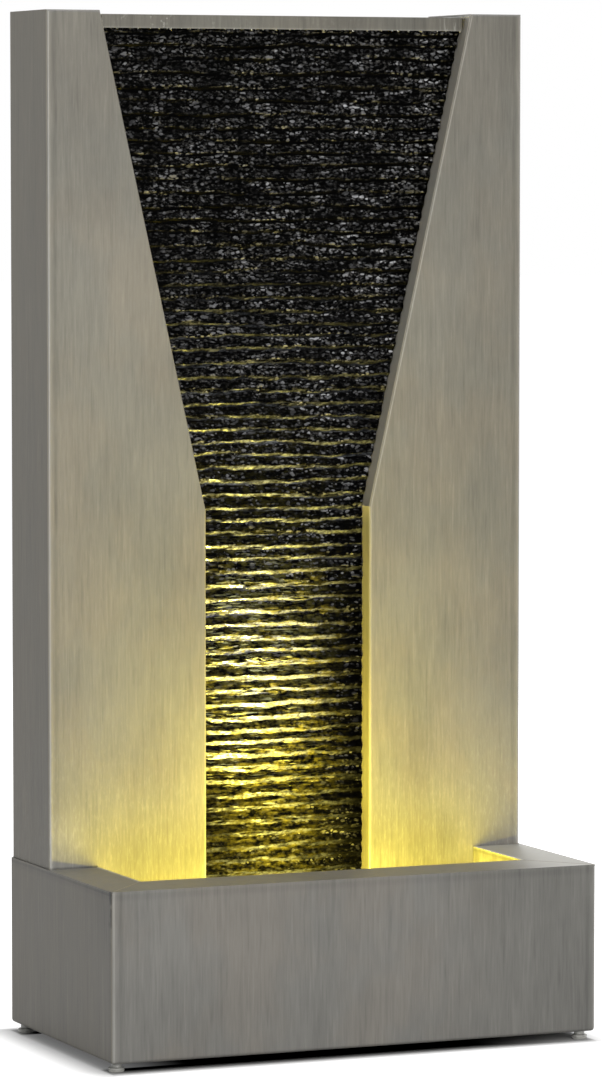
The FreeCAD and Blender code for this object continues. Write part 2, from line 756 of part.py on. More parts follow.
half_wide = "Size.pump_width / 2"
half_high = "Size.pump_height / 2"
rotor_bore_start = "-(Size.rotor_length + Size.impeller_hub)"
motor = pump_body("pump_motor_block")
motor_block = block(motor, "Block", ("-Size.pump_length", f"-{half_wide}", f"-{half_high}"),
                    ("0", half_wide, half_high))
round_edges(motor, "Corners", motor_block, "Size.pump_corner",
            lambda edge: near(middle(edge).x, -size("pump_length") / 2))
rod(motor, "RotorBore", "x", "Size.rotor_radius + Size.rotor_gap", (rotor_bore_start, "0", "0"),
    "Size.rotor_length + Size.impeller_hub + 1", cut=True)
rod(motor, "ShaftSeat", "x", "Size.shaft_radius + Size.running_gap / 3",
    (f"{rotor_bore_start} - Size.shaft_seat", "0", "0"), "Size.shaft_seat + 1", cut=True)

shaft = pump_body("pump_shaft")
shaft_start = f"{rotor_bore_start} - Size.shaft_seat + Size.seat_gap"
shaft_end = "Size.chamber_depth + Size.chamber_wall / 2"
rod(shaft, "Pin", "x", "Size.shaft_radius", (shaft_start, "0", "0"), f"{shaft_end} - ({shaft_start})")

rotor = pump_body("pump_rotor")
rotor_start = f"{rotor_bore_start} + 1"
rod(rotor, "Magnet", "x", "Size.rotor_radius", (rotor_start, "0", "0"), "Size.rotor_length")
rod(rotor, "Bore", "x", "Size.shaft_radius + Size.running_gap", (rotor_start, "0", "0"),
    "Size.rotor_length", cut=True)

impeller = pump_body("impeller")
hub_start = f"{rotor_start} + Size.rotor_length"
vane_end = "1 + Size.impeller_plate + Size.vane_height"
rod(impeller, "Hub", "x", "Size.impeller_hub", (hub_start, "0", "0"), f"{vane_end} - ({hub_start})")
rod(impeller, "Plate", "x", "Size.impeller_radius", ("1", "0", "0"), "Size.impeller_plate")
vane = block(impeller, "Vane", ("1", "Size.impeller_hub / 2", "-Size.vane_thickness / 2"),
             (vane_end, "Size.impeller_radius - 1", "Size.vane_thickness / 2"))
vanes = impeller.newObject("PartDesign::PolarPattern", "Vanes")
vanes.Originals = [vane]
vanes.Axis = ([item for item in impeller.Origin.OriginFeatures if item.Role == "X_Axis"][0], [""])
vanes.Angle = 360
vanes.Occurrences = 6
impeller.Tip = vanes
rod(impeller, "Bore", "x", "Size.shaft_radius + Size.running_gap", (hub_start, "0", "0"),
    f"{vane_end} - ({hub_start})", cut=True)

# Volute: the chamber round the impeller, with the intake in front and the nozzle on top
volute = pump_body("volute_cover")
chamber_outer = "Size.chamber_radius + Size.chamber_wall"
rod(volute, "Drum", "x", chamber_outer, ("0", "0", "0"), "Size.chamber_depth + Size.chamber_wall")
rod(volute, "Chamber", "x", "Size.chamber_radius", ("0", "0", "0"), "Size.chamber_depth", cut=True)
rod(volute, "Intake", "x", "Size.intake_radius", ("0", "0", "0"), "Size.chamber_depth * 2", cut=True)
block(volute, "Spoke", ("Size.chamber_depth", "-Size.intake_radius - 1", "-Size.shaft_radius"),
      ("Size.chamber_depth + Size.chamber_wall", "Size.intake_radius + 1", "Size.shaft_radius"))
rod(volute, "Boss", "x", "Size.shaft_boss", ("Size.chamber_depth - 1.5", "0", "0"),
    "Size.chamber_wall + 1.5")
rod(volute, "ShaftSeat", "x", "Size.shaft_radius + Size.running_gap / 3",
    ("Size.chamber_depth - 2", "0", "0"), "2 + Size.chamber_wall / 2 + Size.seat_gap", cut=True)
nozzle_spot = "Size.nozzle_offset"
nozzle_low = "Size.chamber_radius + Size.chamber_wall / 6"
rod(volute, "Nozzle", "z", "At.spigot_radius", (nozzle_spot, "0", nozzle_low),
    f"Size.nozzle_top - ({nozzle_low})")
rod(volute, "NozzleBore", "z", "Size.nozzle_bore", (nozzle_spot, "0", "Size.impeller_radius"),
    "Size.nozzle_top", cut=True)

# Strainer: a slotted cap that pulls off forwards over the volute
strainer = pump_body("strainer_cover")
wall = "Size.strainer_wall"
block(strainer, "Cap", ("Size.seat_gap", f"-{half_wide}", f"-{half_high}"),
      ("Size.strainer_length", half_wide, half_high))
block(strainer, "Hollow", ("0", f"-{half_wide} + {wall}", f"-{half_high} + {wall}"),
      (f"Size.strainer_length - {wall}", f"{half_wide} - {wall}", f"{half_high} - {wall}"), cut=True)
block(strainer, "NozzleNotch", ("0", "-Size.notch_half", "0"),
      ("Size.nozzle_offset + Size.notch_half", "Size.notch_half", f"{half_high} + 1"), cut=True)
slot_reach = f"{half_wide} - 3 * {wall}"
for row in (-3, -2, 2, 3):
    slot_z = f"{row} * Size.strainer_pitch"
    block(strainer, "FrontSlot", (f"Size.strainer_length - 2 * {wall}", f"-({slot_reach})",
                                  f"{slot_z} - Size.strainer_slot / 2"),
          ("Size.strainer_length + 1", slot_reach, f"{slot_z} + Size.strainer_slot / 2"), cut=True)
for row in range(-3, 4):
    slot_z = f"{row} * Size.strainer_pitch"
    block(strainer, "SideSlot", (f"3 * {wall}", f"-{half_wide} - 1", f"{slot_z} - Size.strainer_slot / 2"),
          (f"Size.strainer_length - 3 * {wall}", f"{half_wide} + 1",
           f"{slot_z} + Size.strainer_slot / 2"), cut=True)
rod(strainer, "DialHole", "x", "Size.dial_pin + Size.running_gap",
    (f"Size.strainer_length - 2 * {wall}", "0", "0"), f"3 * {wall}", cut=True)

# Flow regulator: a dial on the strainer's face that turns a quarter turn
dial = pump_body("flow_regulator")
dial_start = "Size.strainer_length + Size.seat_gap"
rod(dial, "Disc", "x", "Size.dial_radius", (dial_start, "0", "0"), "Size.dial_thickness")
block(dial, "Grip", (dial_start, "-Size.dial_grip / 2", "-Size.dial_radius + 1"),
      (f"{dial_start} + Size.dial_thickness + Size.dial_grip", "Size.dial_grip / 2", "Size.dial_radius - 1"))
rod(dial, "Pin", "x", "Size.dial_pin", (f"Size.strainer_length - 2 * {wall}", "0", "0"),
    f"2 * {wall} + Size.seat_gap + Size.dial_thickness")

# Suckers that hold the pump to the basin's floor
suckers = pump_body("pump_suckers")
sucker_low = f"-{half_high} - Size.sucker_height"
for x_place in ("-Size.sucker_inset", "-Size.pump_length + Size.sucker_inset"):
    for sign in (-1, 1):
        spot = (x_place, f"{sign} * ({half_wide} - Size.sucker_inset)", sucker_low)
        cone(suckers, "Cup", "Size.sucker_radius", "Size.sucker_neck", spot, "Size.sucker_height")


# Riser hose: from the pump's nozzle up to the trough's inlet, in one easy curve.
def hose_points():
    """The route's corners, from the nozzle to the inlet."""
    sway = size("hose_sway")
    bow = size("hose_bow")
    low_y = at("pump_y")
    high_y = at("inlet_y")
    low_z = at("pump_z") + size("hose_start")
    high_z = at("trough_floor") - size("hose_end_gap")
    rise = high_z - low_z
    return [
        Vector(0, low_y, low_z),
        Vector(0, low_y, low_z + 0.13 * rise),
        Vector(-sway, low_y + bow / 3, low_z + 0.33 * rise),
        Vector(-sway / 2, low_y + bow, low_z + 0.55 * rise),
        Vector(sway, high_y + bow, low_z + 0.76 * rise),
        Vector(0, high_y, low_z + 0.92 * rise),
        Vector(0, high_y, high_z),
    ]


def rounded_path(points):
    """Straight runs joined by arcs that touch them, each as large as its runs allow."""
    edges = []
    radii = []
    start = points[0]
    for before, corner, after in zip(points, points[1:], points[2:]):
        back = (before - corner).normalize()
        ahead = (after - corner).normalize()
        half_turn = (math.pi - back.getAngle(ahead)) / 2
        shorter = min((before - corner).Length, (after - corner).Length)
        reach = 0.45 * shorter
        radii.append(reach / math.tan(half_turn))
        arc_start = corner + back * reach
        arc_end = corner + ahead * reach
        to_centre = (back + ahead).normalize()
        centre = corner + to_centre * (reach / math.sin(half_turn))
        arc_middle = centre - to_centre * radii[-1]
        edges.append(Part.LineSegment(start, arc_start).toShape())
        edges.append(Part.Arc(arc_start, arc_middle, arc_end).toShape())
        start = arc_end
    edges.append(Part.LineSegment(start, points[-1]).toShape())
    return Part.Wire(edges), radii


hose_path, hose_radii = rounded_path(hose_points())
print("hose arc radii, mm:", [round(radius) for radius in hose_radii])


def tube_along(path, radius):
    """A round solid that follows a path from its first point."""
    start = path.Edges[0].valueAt(path.Edges[0].FirstParameter)
    direction = path.Edges[0].tangentAt(path.Edges[0].FirstParameter)
    ring = Part.Wire([Part.Circle(start, direction, radius).toShape()])
    return path.makePipeShell([ring], True, False)


hose_shape = tube_along(hose_path, at("hose_radius")).cut(tube_along(hose_path, size("hose_bore")))
hose_section = math.pi * (at("hose_radius") ** 2 - size("hose_bore") ** 2)
print("hose volume over section times length:", round(hose_shape.Volume / hose_section / hose_path.Length, 4))
riser_hose = doc.addObject("Part::Feature", "riser_hose")
riser_hose.Label = "riser_hose"
riser_hose.Shape = hose_shape
nodes.append(riser_hose)

# Clamps that tighten the hose on the nozzle and on the inlet's tail
clamps = new_body("hose_clamps")
clamp_inner = "At.hose_radius + Size.spigot_gap"
clamp_outer = f"{clamp_inner} + Size.clamp_thickness"
clamp_spots = (
    ("0", "At.pump_y", "At.pump_z + Size.hose_start + Size.clamp_width / 2"),
    ("0", "At.inlet_y", "At.trough_floor - Size.hose_end_gap - 1.5 * Size.clamp_width"),
)
for spot in clamp_spots:
    rod(clamps, "Band", "z", clamp_outer, spot, "Size.clamp_width")
    block(clamps, "Worm", (f"{clamp_inner} + 0.3", f"{spot[1]} - Size.clamp_width / 2", spot[2]),
          (f"{clamp_outer} + Size.clamp_width / 2", f"{spot[1]} + Size.clamp_width / 2",
           f"{spot[2]} + Size.clamp_width"))
for spot in clamp_spots:
    rod(clamps, "HoseSpace", "z", clamp_inner, (spot[0], spot[1], f"{spot[2]} - 1"),
        "Size.clamp_width + 2", cut=True)


# Clips that hold the hose to the middle and lower battens
def hose_at(height):
    """The hose's centre at one height."""
    points = hose_path.discretize(400)
    return min(points, key=lambda point: abs(point.z - height))


for level in ("middle", "lower"):
    label = f"{level}_hose_clip"
    spot = hose_at(size(f"{level}_batten_height") - size("batten_height") / 2)
    clip_low = spot.z - size("clip_width") / 2
    inner_radius = at("hose_radius") + size("clip_slack")
    ring = Part.makeCylinder(inner_radius + size("clip_thickness"), size("clip_width"),
                             Vector(spot.x, spot.y, clip_low))
    arm = Part.makeBox(2 * size("clip_thickness"), spot.y - at("batten_back"), size("clip_width"),
                       Vector(spot.x - size("clip_thickness"), at("batten_back"), clip_low))
    space = Part.makeCylinder(inner_radius, size("clip_width") + 2,
                              Vector(spot.x, spot.y, clip_low - 1))
    clip = doc.addObject("Part::Feature", label)
    clip.Label = label
    clip.Shape = ring.fuse(arm).cut(space)
    nodes.append(clip)


# Spotlight: the head is drawn about its pivot with the beam along Z, then tilted towards
# the water wall.
def spot_body(label):
    """A piece of the tilting head."""
    body = new_body(label)
    body.Placement = Placement(Vector(), Rotation(Vector(1, 0, 0), -size("spot_tilt")))
    put(body, ("0", "At.spot_y", "At.spot_z"))
    return body


housing = spot_body("spot_housing")
rod(housing, "Can", "z", "Size.spot_radius", ("0", "0", "-Size.spot_rear"),
    "Size.spot_rear + Size.spot_front")
rod(housing, "Bosses", "x", "Size.boss_radius", ("-At.ear_inner + Size.seat_gap", "0", "0"),
    "2 * (At.ear_inner - Size.seat_gap)")
rod(housing, "Cavity", "z", "Size.spot_radius - Size.spot_wall",
    ("0", "0", "-Size.spot_rear + Size.spot_floor"), "Size.spot_rear + Size.spot_front", cut=True)
screw_reach = "Size.spot_radius - Size.spot_wall + Size.seat_gap"
for name, start in (("RightThread", screw_reach), ("LeftThread", "-At.ear_inner - 1")):
    rod(housing, name, "x", "Size.pivot_radius + Size.running_gap / 3", (start, "0", "0"),
        f"At.ear_inner + 1 - ({screw_reach})", cut=True)

module = spot_body("led_module")
board_low = "-Size.spot_rear + Size.spot_floor"
rod(module, "Board", "z", f"Size.spot_radius - Size.spot_wall - Size.seat_gap", ("0", "0", board_low),
    "Size.board_thickness")
for corner in range(3):
    chip_x = f"Size.chip_circle * cos({120 * corner + 30})"
    chip_y = f"Size.chip_circle * sin({120 * corner + 30})"
    block(module, "Chip", (f"{chip_x} - Size.chip_size / 2", f"{chip_y} - Size.chip_size / 2", board_low),
          (f"{chip_x} + Size.chip_size / 2", f"{chip_y} + Size.chip_size / 2",
           f"{board_low} + Size.board_thickness + Size.chip_height"))

lens = spot_body("spot_lens")
rod(lens, "Disc", "z", "Size.lens_radius", ("0", "0", "Size.spot_front"), "Size.lens_thickness")

bezel = spot_body("spot_bezel")
bezel_low = "Size.spot_front - Size.bezel_skirt"
lens_top = "Size.spot_front + Size.lens_thickness"
rod(bezel, "Ring", "z", "Size.spot_radius + Size.bezel_wall", ("0", "0", bezel_low),
    "Size.bezel_skirt + Size.lens_thickness + Size.bezel_lip")
rod(bezel, "HousingSpace", "z", "Size.spot_radius + Size.running_gap", ("0", "0", bezel_low),
    "Size.bezel_skirt", cut=True)
rod(bezel, "LensSpace", "z", "Size.lens_radius + Size.seat_gap", ("0", "0", "Size.spot_front"),
    "Size.lens_thickness", cut=True)
rod(bezel, "Window", "z", "Size.bezel_window", ("0", "0", lens_top), "Size.bezel_lip", cut=True)

pivots = spot_body("spot_pivot_screws")
ear_outer = "At.ear_inner + Size.ear_thickness"
for name, sign in (("Right", 1), ("Left", -1)):
    shank_start = screw_reach if sign > 0 else f"-({ear_outer})"
    head_start = ear_outer if sign > 0 else f"-({ear_outer} + Size.pivot_head_height)"
    rod(pivots, f"{name}Shank", "x", "Size.pivot_radius", (shank_start, "0", "0"),
        f"{ear_outer} - ({screw_reach})")
    rod(pivots, f"{name}Head", "x", "Size.pivot_head", (head_start, "0", "0"), "Size.pivot_head_height")

# Stand of the spotlight: a foot plate on the basin's floor, a post and a yoke
stand = new_body("spot_stand")
plate_top = "At.floor_top + Size.stand_plate"
block(stand, "FootPlate", ("-Size.stand_width / 2", "At.spot_y - Size.stand_depth / 2", "At.floor_top"),
      ("Size.stand_width / 2", "At.spot_y + Size.stand_depth / 2", plate_top))
yoke_top = "At.spot_z - Size.yoke_drop"
block(stand, "Post", ("-Size.post_width / 2", "At.spot_y - Size.ear_thickness / 2", "At.floor_top"),
      ("Size.post_width / 2", "At.spot_y + Size.ear_thickness / 2", yoke_top))
yoke_under = f"{yoke_top} - Size.ear_thickness"
ear_front = "At.spot_y - Size.ear_width / 2"
ear_rear = "At.spot_y + Size.ear_width / 2"
block(stand, "YokeBar", (f"-({ear_outer})", ear_front, yoke_under), (ear_outer, ear_rear, yoke_top))
for name, low, high in (("LeftEar", f"-({ear_outer})", "-At.ear_inner"),
                        ("RightEar", "At.ear_inner", ear_outer)):
    block(stand, name, (low, ear_front, yoke_under), (high, ear_rear, "At.spot_z"))
    rod(stand, f"{name}Round", "x", "Size.ear_width / 2", (low, "At.spot_y", "At.spot_z"),
        "Size.ear_thickness")
for name, start in (("LeftPivotHole", f"-({ear_outer}) - 1"), ("RightPivotHole", "At.ear_inner - 1")):
    rod(stand, name, "x", "Size.pivot_radius + Size.running_gap", (start, "At.spot_y", "At.spot_z"),
        "Size.ear_thickness + 2", cut=True)

doc.recompute()
for item in doc.Objects:
    if "Invalid" in item.State or "Error" in item.State:
        raise RuntimeError(f"{item.Name} could not be built")
for node in nodes:
    if node.Shape.isNull() or not node.Shape.isValid():
        raise RuntimeError(f"{node.Label} has no valid shape")

os.makedirs("parts", exist_ok=True)
for node in nodes:
    node.Shape.exportStep(f"parts/{node.Label}.step")
    print(node.Label, "solids:", len(node.Shape.Solids), "volume:", round(node.Shape.Volume))
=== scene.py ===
import math

import bmesh
import bpy
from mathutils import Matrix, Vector


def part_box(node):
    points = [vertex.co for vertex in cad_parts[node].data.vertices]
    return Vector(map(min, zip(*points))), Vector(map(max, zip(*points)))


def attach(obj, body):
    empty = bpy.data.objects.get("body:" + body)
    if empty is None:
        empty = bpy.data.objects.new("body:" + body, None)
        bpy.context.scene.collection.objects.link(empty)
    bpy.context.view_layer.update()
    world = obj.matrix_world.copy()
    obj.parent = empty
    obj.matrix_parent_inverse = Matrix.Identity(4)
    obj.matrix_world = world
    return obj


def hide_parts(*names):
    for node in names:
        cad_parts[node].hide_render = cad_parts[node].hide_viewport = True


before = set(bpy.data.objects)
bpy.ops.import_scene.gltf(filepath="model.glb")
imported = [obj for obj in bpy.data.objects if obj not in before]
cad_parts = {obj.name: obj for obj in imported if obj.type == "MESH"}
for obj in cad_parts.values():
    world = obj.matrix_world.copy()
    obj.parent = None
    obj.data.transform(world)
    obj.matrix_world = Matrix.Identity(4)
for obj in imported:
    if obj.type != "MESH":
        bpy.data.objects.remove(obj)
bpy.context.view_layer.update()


# The basin is one tray of brushed sheet, folded up at the sides and turned in to a flange that carries
# a down-turned lip. Its upright corners are welded and the flange is mitred and ground at the corners.

RIM_TOP = 0.171
RIM_HALF = 0.198
RIM_EDGE = -0.0785
RIM_SIDE = 0.052
RIM_FRONT = 0.059
OPENING_MIDDLE = 0.029
LIP_FOOT = 0.14
HALF_WIDTH = 0.25
HALF_DEPTH = 0.1375
KNEE_HEIGHT = 0.511
BRUSHED = (430, 430, 24)
ROLLED = (9, 9, 900)
SHEET_WARM = (0.167, 0.1565, 0.1375)
SHEET_COOL = (0.157, 0.1535, 0.1405)
SHADED_SIDE_SHEET = (0.182, 0.163, 0.120)
LIME = (0.36, 0.36, 0.345)
WELD_TINT = (0.135, 0.118, 0.088)


class Socket:
    """A node's output. Python's operators on it add the Math nodes that they name."""

    def __init__(self, tree, output):
        self.tree = tree
        self.output = output

    def also(self, name):
        """Another output of the same node."""
        return Socket(self.tree, self.output.node.outputs[name])

    def math(self, operation, *values):
        return self.tree.node("ShaderNodeMath", {"operation": operation}, dict(enumerate(values)))

    def __add__(self, other):
        return self.math("ADD", self, other)

    def __radd__(self, other):
        return self.math("ADD", other, self)

    def __sub__(self, other):
        return self.math("SUBTRACT", self, other)

    def __rsub__(self, other):
        return self.math("SUBTRACT", other, self)

    def __mul__(self, other):
        return self.math("MULTIPLY", self, other)

    def __rmul__(self, other):
        return self.math("MULTIPLY", other, self)

    def __truediv__(self, other):
        return self.math("DIVIDE", self, other)

    def __rtruediv__(self, other):
        return self.math("DIVIDE", other, self)

    def __pow__(self, other):
        return self.math("POWER", self, other)

    def __lt__(self, other):
        return self.math("LESS_THAN", self, other)

    def __gt__(self, other):
        return self.math("GREATER_THAN", self, other)

    def __neg__(self):
        return self.math("MULTIPLY", self, -1)

    def __abs__(self):
        return self.math("ABSOLUTE", self)

    def fraction(self):
        return self.math("FRACT", self)

    def at_least(self, other):
        return self.math("MAXIMUM", self, other)

    def at_most(self, other):
        return self.math("MINIMUM", self, other)


class Tree:
    """The nodes of a material or of a modifier."""

    def __init__(self, tree):
        self.tree = tree

    def node(self, kind, settings=None, sockets=None, output=0):
        """Adds a node: its settings first, then the values or links of its sockets."""
        made = self.tree.nodes.new(kind)
        for name, value in (settings or {}).items():
            setattr(made, name, value)
        for name, value in (sockets or {}).items():
            for each in value if isinstance(value, list) else [value]:
                if isinstance(each, Socket):
                    self.tree.links.new(each.output, made.inputs[name])
                elif each is not None:
                    made.inputs[name].default_value = each
        return Socket(self, made.outputs[output]) if made.outputs else made

    def split(self, vector):
        """The three parts of a vector."""
        parts = self.node("ShaderNodeSeparateXYZ", {}, {0: vector})
        return [Socket(self, out) for out in parts.output.node.outputs]

    def join(self, x, y, z):
        return self.node("ShaderNodeCombineXYZ", {}, {0: x, 1: y, 2: z})

    def noise(self, vector, detail=2, roughness=0.5):
        sockets = {"Vector": vector, "Scale": 1, "Detail": detail, "Roughness": roughness}
        return self.node("ShaderNodeTexNoise", {"noise_dimensions": "3D"}, sockets)

    def cells(self, vector):
        """The distance to the nearest of scattered points; also("Color") is random for each point."""
        return self.node("ShaderNodeTexVoronoi", {}, {"Vector": vector, "Scale": 1, "Randomness": 1})

    def between(self, value, low, high):
        """0 up to low, 1 from high on, and smooth in between."""
        return self.node("ShaderNodeMapRange", {"interpolation_type": "SMOOTHSTEP"},
                         {"Value": value, "From Min": low, "From Max": high})

    def fades(self, value, low, high):
        """1 up to low, 0 from high on, and smooth in between."""
        return 1 - self.between(value, low, high)

    def chance(self, low, high, seed):
        """A random value for each place."""
        return self.node("FunctionNodeRandomValue", {"data_type": "FLOAT"}, {2: low, 3: high, 8: seed}, 1)


class Finish(Tree):
    """The material of a piece, on the object's own coordinates in metres."""

    def __init__(self, name):
        self.material = bpy.data.materials.new(name)
        self.material.use_nodes = True
        super().__init__(self.material.node_tree)
        self.tree.nodes.clear()
        self.place = self.node("ShaderNodeTexCoord", output="Object")
        self.x, self.y, self.z = self.split(self.place)
        facing = self.node("ShaderNodeTexCoord", output="Normal")
        self.facing_x, self.facing_y, self.facing_z = self.split(facing)

    def scaled(self, x, y, z):
        """The place, with that many units to the metre along each axis."""
        return self.node("ShaderNodeVectorMath", {"operation": "MULTIPLY"},
                         {0: self.place, 1: (x, y, z)})

    def stretched(self, x, y, z, **more):
        """Noise with that many cells to the metre along each axis."""
        return self.noise(self.scaled(x, y, z), **more)

    def speckled(self, cells, **more):
        """Noise that is stretched along no axis."""
        return self.stretched(cells, cells, cells, **more)

    def mix(self, share, first, second):
        """Goes from the first colour to the second."""
        first, second = [(*c, 1) if isinstance(c, tuple) else c for c in (first, second)]
        return self.node("ShaderNodeMix", {"data_type": "RGBA"}, {0: share, 6: first, 7: second}, 2)

    def shade(self, colour, value):
        """A colour made lighter or darker by a value."""
        return self.node("ShaderNodeVectorMath", {"operation": "SCALE"}, {0: colour, "Scale": value})

    def bump(self, height, distance, strength=1, below=None):
        return self.node("ShaderNodeBump", {},
                         {"Height": height, "Distance": distance, "Strength": strength, "Normal": below})

    def surface(self, **sockets):
        """Ends the material with its shader: base_color=... sets the socket Base Color."""
        named = {name.replace("_", " ").title().replace("Ior", "IOR"): value
                 for name, value in sockets.items()}
        named = {name: (*value, 1) if name.endswith(("Color", "Tint")) and isinstance(value, tuple)
                 else value for name, value in named.items()}
        shader = self.node("ShaderNodeBsdfPrincipled", {}, named)
        self.node("ShaderNodeOutputMaterial", {}, {"Surface": shader})
        return self.material


def paint(material, *nodes):
    """Gives these nodes of the model their material."""
    for name in nodes:
        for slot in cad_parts[name].material_slots:
            slot.material = material


def ground_flange(finish):
    """Where the basin's flange is, the grain ground along its arms, and the seams of its mitres."""
    ahead = RIM_EDGE - finish.y
    along = (abs(finish.x) - RIM_HALF) - ahead * (RIM_SIDE / RIM_FRONT)
    level = finish.facing_z > 0.7
    on_front = along < 0
    grain = finish.stretched(14, 430, 14) * on_front + finish.stretched(430, 14, 14) * (1 - on_front)
    seam = finish.fades(abs(along), 0.0006, 0.0035) * level * (ahead > 0)
    return level, grain, seam


def basin_stains_and_painted_light(finish, level):
    """How much darker or paler than its middle the basin is: weld stains, the rim's bend, painted light and
    shade.
    """
    upright = 1 - level
    on_side = abs(finish.facing_x) > 0.8
    behind = finish.y + HALF_DEPTH
    down = RIM_TOP - finish.z
    high = finish.fades(down, 0.006, 0.071)
    spots = finish.between(finish.stretched(95, 95, 60), 0.44, 0.6)
    weld_stain = finish.fades(behind, 0.003, 0.012) * on_side * (0.07 + spots * high * 0.42)
    # Painted shade: a dark band just under the rim's fold on the upright walls.
    shade_under_rim = finish.between(down, 0.001, 0.004) * finish.fades(down, 0.005, 0.011) * upright
    # A darker line just under the rim's bend, on the sides.
    bend = finish.between(down, 0.001, 0.002) * finish.fades(down, 0.0035, 0.005) * on_side
    # Painted shade: the sides darken towards the front corner, high up.
    front_corner_shade = finish.fades(behind, 0.02, 0.09) * on_side * high
    # Darker towards the bottom.
    foot = finish.fades(finish.z, 0.03, 0.12)
    marks = weld_stain + shade_under_rim * 0.09 + bend * 0.16 + front_corner_shade * 0.11 + foot * 0.06
    # Painted shade: the upright walls darker to the right. Painted highlight: paler near the right corner,
    # high up. Painted reflection: the flange paler to the right.
    marks = marks + upright * finish.between(finish.x, 0.04, 0.2) * 0.12
    marks = marks - upright * high * finish.between(finish.x, 0.215, 0.245) * 0.13
    return marks - level * finish.between(finish.x, 0.12, 0.23) * 1.1


def column_painted_light_and_shade(finish):
    """Painted light and shade on the column's front: a contact shadow at the left, and glow and shade low
    down.
    """
    above = finish.z - RIM_TOP
    # Painted contact shadow along the flange at the left casing's foot.
    contact_shade = finish.fades(above, 0.0005, 0.0025) * (finish.x < -0.199)
    # Painted shade low down beside the opening.
    low_inner_shade = finish.fades(abs(finish.x), 0.165, 0.212) * finish.fades(above, 0.001, 0.064)
    # Painted glow of the lamp: paler low down at the left casing's foot and on the casings' outer parts, most
    # on the right.
    left_foot_glow = finish.between(-finish.x, 0.198, 0.232) * finish.fades(above, 0.024, 0.069)
    outer_glow = finish.between(abs(finish.x), 0.13, 0.19) * finish.fades(above, 0.069, 0.249)
    return contact_shade * 0.6 + low_inner_shade * 0.3 - left_foot_glow * 0.42 - outer_glow * (0.13 + (finish.x > 0) * 0.14)


def brushed_sheet(name, grain=BRUSHED, welded=False, limed=None, ground=0.33):
    """Sheet with a brushing belt's short streaks, wet metal's cloudy stain, and painted highlights and shade.
    """
    finish = Finish(name)
    fine = finish.stretched(*grain, detail=3, roughness=0.65)
    strokes = finish.stretched(*[g * 0.62 for g in grain])
    strokes = finish.between(strokes, 0.58, 0.72) - finish.fades(strokes, 0.28, 0.42)
    broad = finish.stretched(*[g / 5 for g in grain], detail=3)
    cloud = finish.stretched(8, 8, 6, detail=4, roughness=0.6)
    stain = finish.stretched(13, 13, 9, detail=4, roughness=0.6)
    climb = finish.between(finish.z, 0.70, 1.0)
    warm = finish.between(stain, 0.38, 0.62) * (1 - climb * 0.5)
    ahead = finish.facing_y < -0.8
    if welded:
        level, flange_grain, seam = ground_flange(finish)
        fine = flange_grain * level + fine * (1 - level)
        warm = warm * finish.fades(finish.x, 0.04, 0.2)
        marks = basin_stains_and_painted_light(finish, level)
    else:
        marks = column_painted_light_and_shade(finish) * ahead
    on_side = abs(finish.facing_x) > 0.8
    inward = (finish.x * finish.facing_x < -0.04) * on_side
    outward = on_side - inward
    from_side = HALF_WIDTH - abs(finish.x)
    # Painted highlights: the bends, a strip at each front corner and the returns near the knee are made
    # paler.
    bent = finish.between(abs(finish.facing_x * finish.facing_y), 0.05, 0.3)
    outer_bend = bent * (finish.x * finish.facing_x > 0)
    corner_highlight = finish.fades(from_side, 0.0035, 0.0065) * ahead
    beside_corner_shade = finish.between(from_side, 0.0065, 0.0085) * finish.fades(from_side, 0.0095, 0.0125) * ahead
    paler = bent * 0.25 + (outer_bend * 0.45 + corner_highlight * 0.3) * (0.5 if welded else 1)
    paler = paler + inward * finish.between(finish.z, KNEE_HEIGHT - 0.021, KNEE_HEIGHT + 0.019) * 1.4
    # Painted shade: darker towards the top and to the right, on the outer sides (most low down), and in a
    # strip beside each front corner's highlight.
    darker = climb * (1 - outward) * 0.17 + finish.between(finish.x, -0.05, 0.25) * 0.07
    darker = darker + outward * (0.27 - finish.between(finish.z, 0.1, 1.0) * 0.31)
    darker = darker + outward * finish.fades(finish.z, 0.1, 0.7) * 0.10 + beside_corner_shade * 0.16
    # marks holds the basin's weld stains together with painted light and shade on the basin and the column.
    tone = ground + fine * 0.52 + strokes * 0.10 + broad * 0.20 + cloud * 0.50 + paler - darker - marks
    colour = finish.mix(warm, SHEET_COOL, SHEET_WARM)
    # The outer sides get a warmer colour of their own, a painted shade of the sheet.
    colour = finish.mix(outward * 0.6, colour, SHADED_SIDE_SHEET)
    if welded:
        colour = finish.mix(seam * 0.7, colour, WELD_TINT)
    if limed:
        colour = finish.mix(limed(finish), colour, LIME)
    rough = 0.38 + fine * 0.16 + cloud * 0.12 - bent * 0.1
    return finish.surface(base_color=finish.shade(colour, tone), metallic=0.3, roughness=rough,
                          normal=finish.bump(fine, 0.00025, 0.5))


def lip_crust_and_highlight(finish):
    """A thin pale crust on the down-turned lip, which the water splashes, and a painted highlight on its
    fold.
    """
    across = abs(finish.x) < RIM_HALF + 0.003
    inside = across * (abs(finish.y - OPENING_MIDDLE) < OPENING_MIDDLE - RIM_EDGE) * (finish.z > LIP_FOOT)
    # Painted highlight on the lip's top fold, where the lamp lights it; the pale lip is partly lime crust and
    # partly painted lamp light.
    edge = finish.fades(RIM_TOP - finish.z, 0.001, 0.0022) * 0.4
    return inside * (0.2 + finish.between(finish.stretched(90, 90, 60, detail=3), 0.4, 0.65) * 0.4 + edge)


paint(brushed_sheet("basin_sheet", welded=True, limed=lip_crust_and_highlight), "basin_shell")


def added(name, data):
    """A new object in the scene."""
    made = bpy.data.objects.new(name, data)
    bpy.context.scene.collection.objects.link(made)
    return made


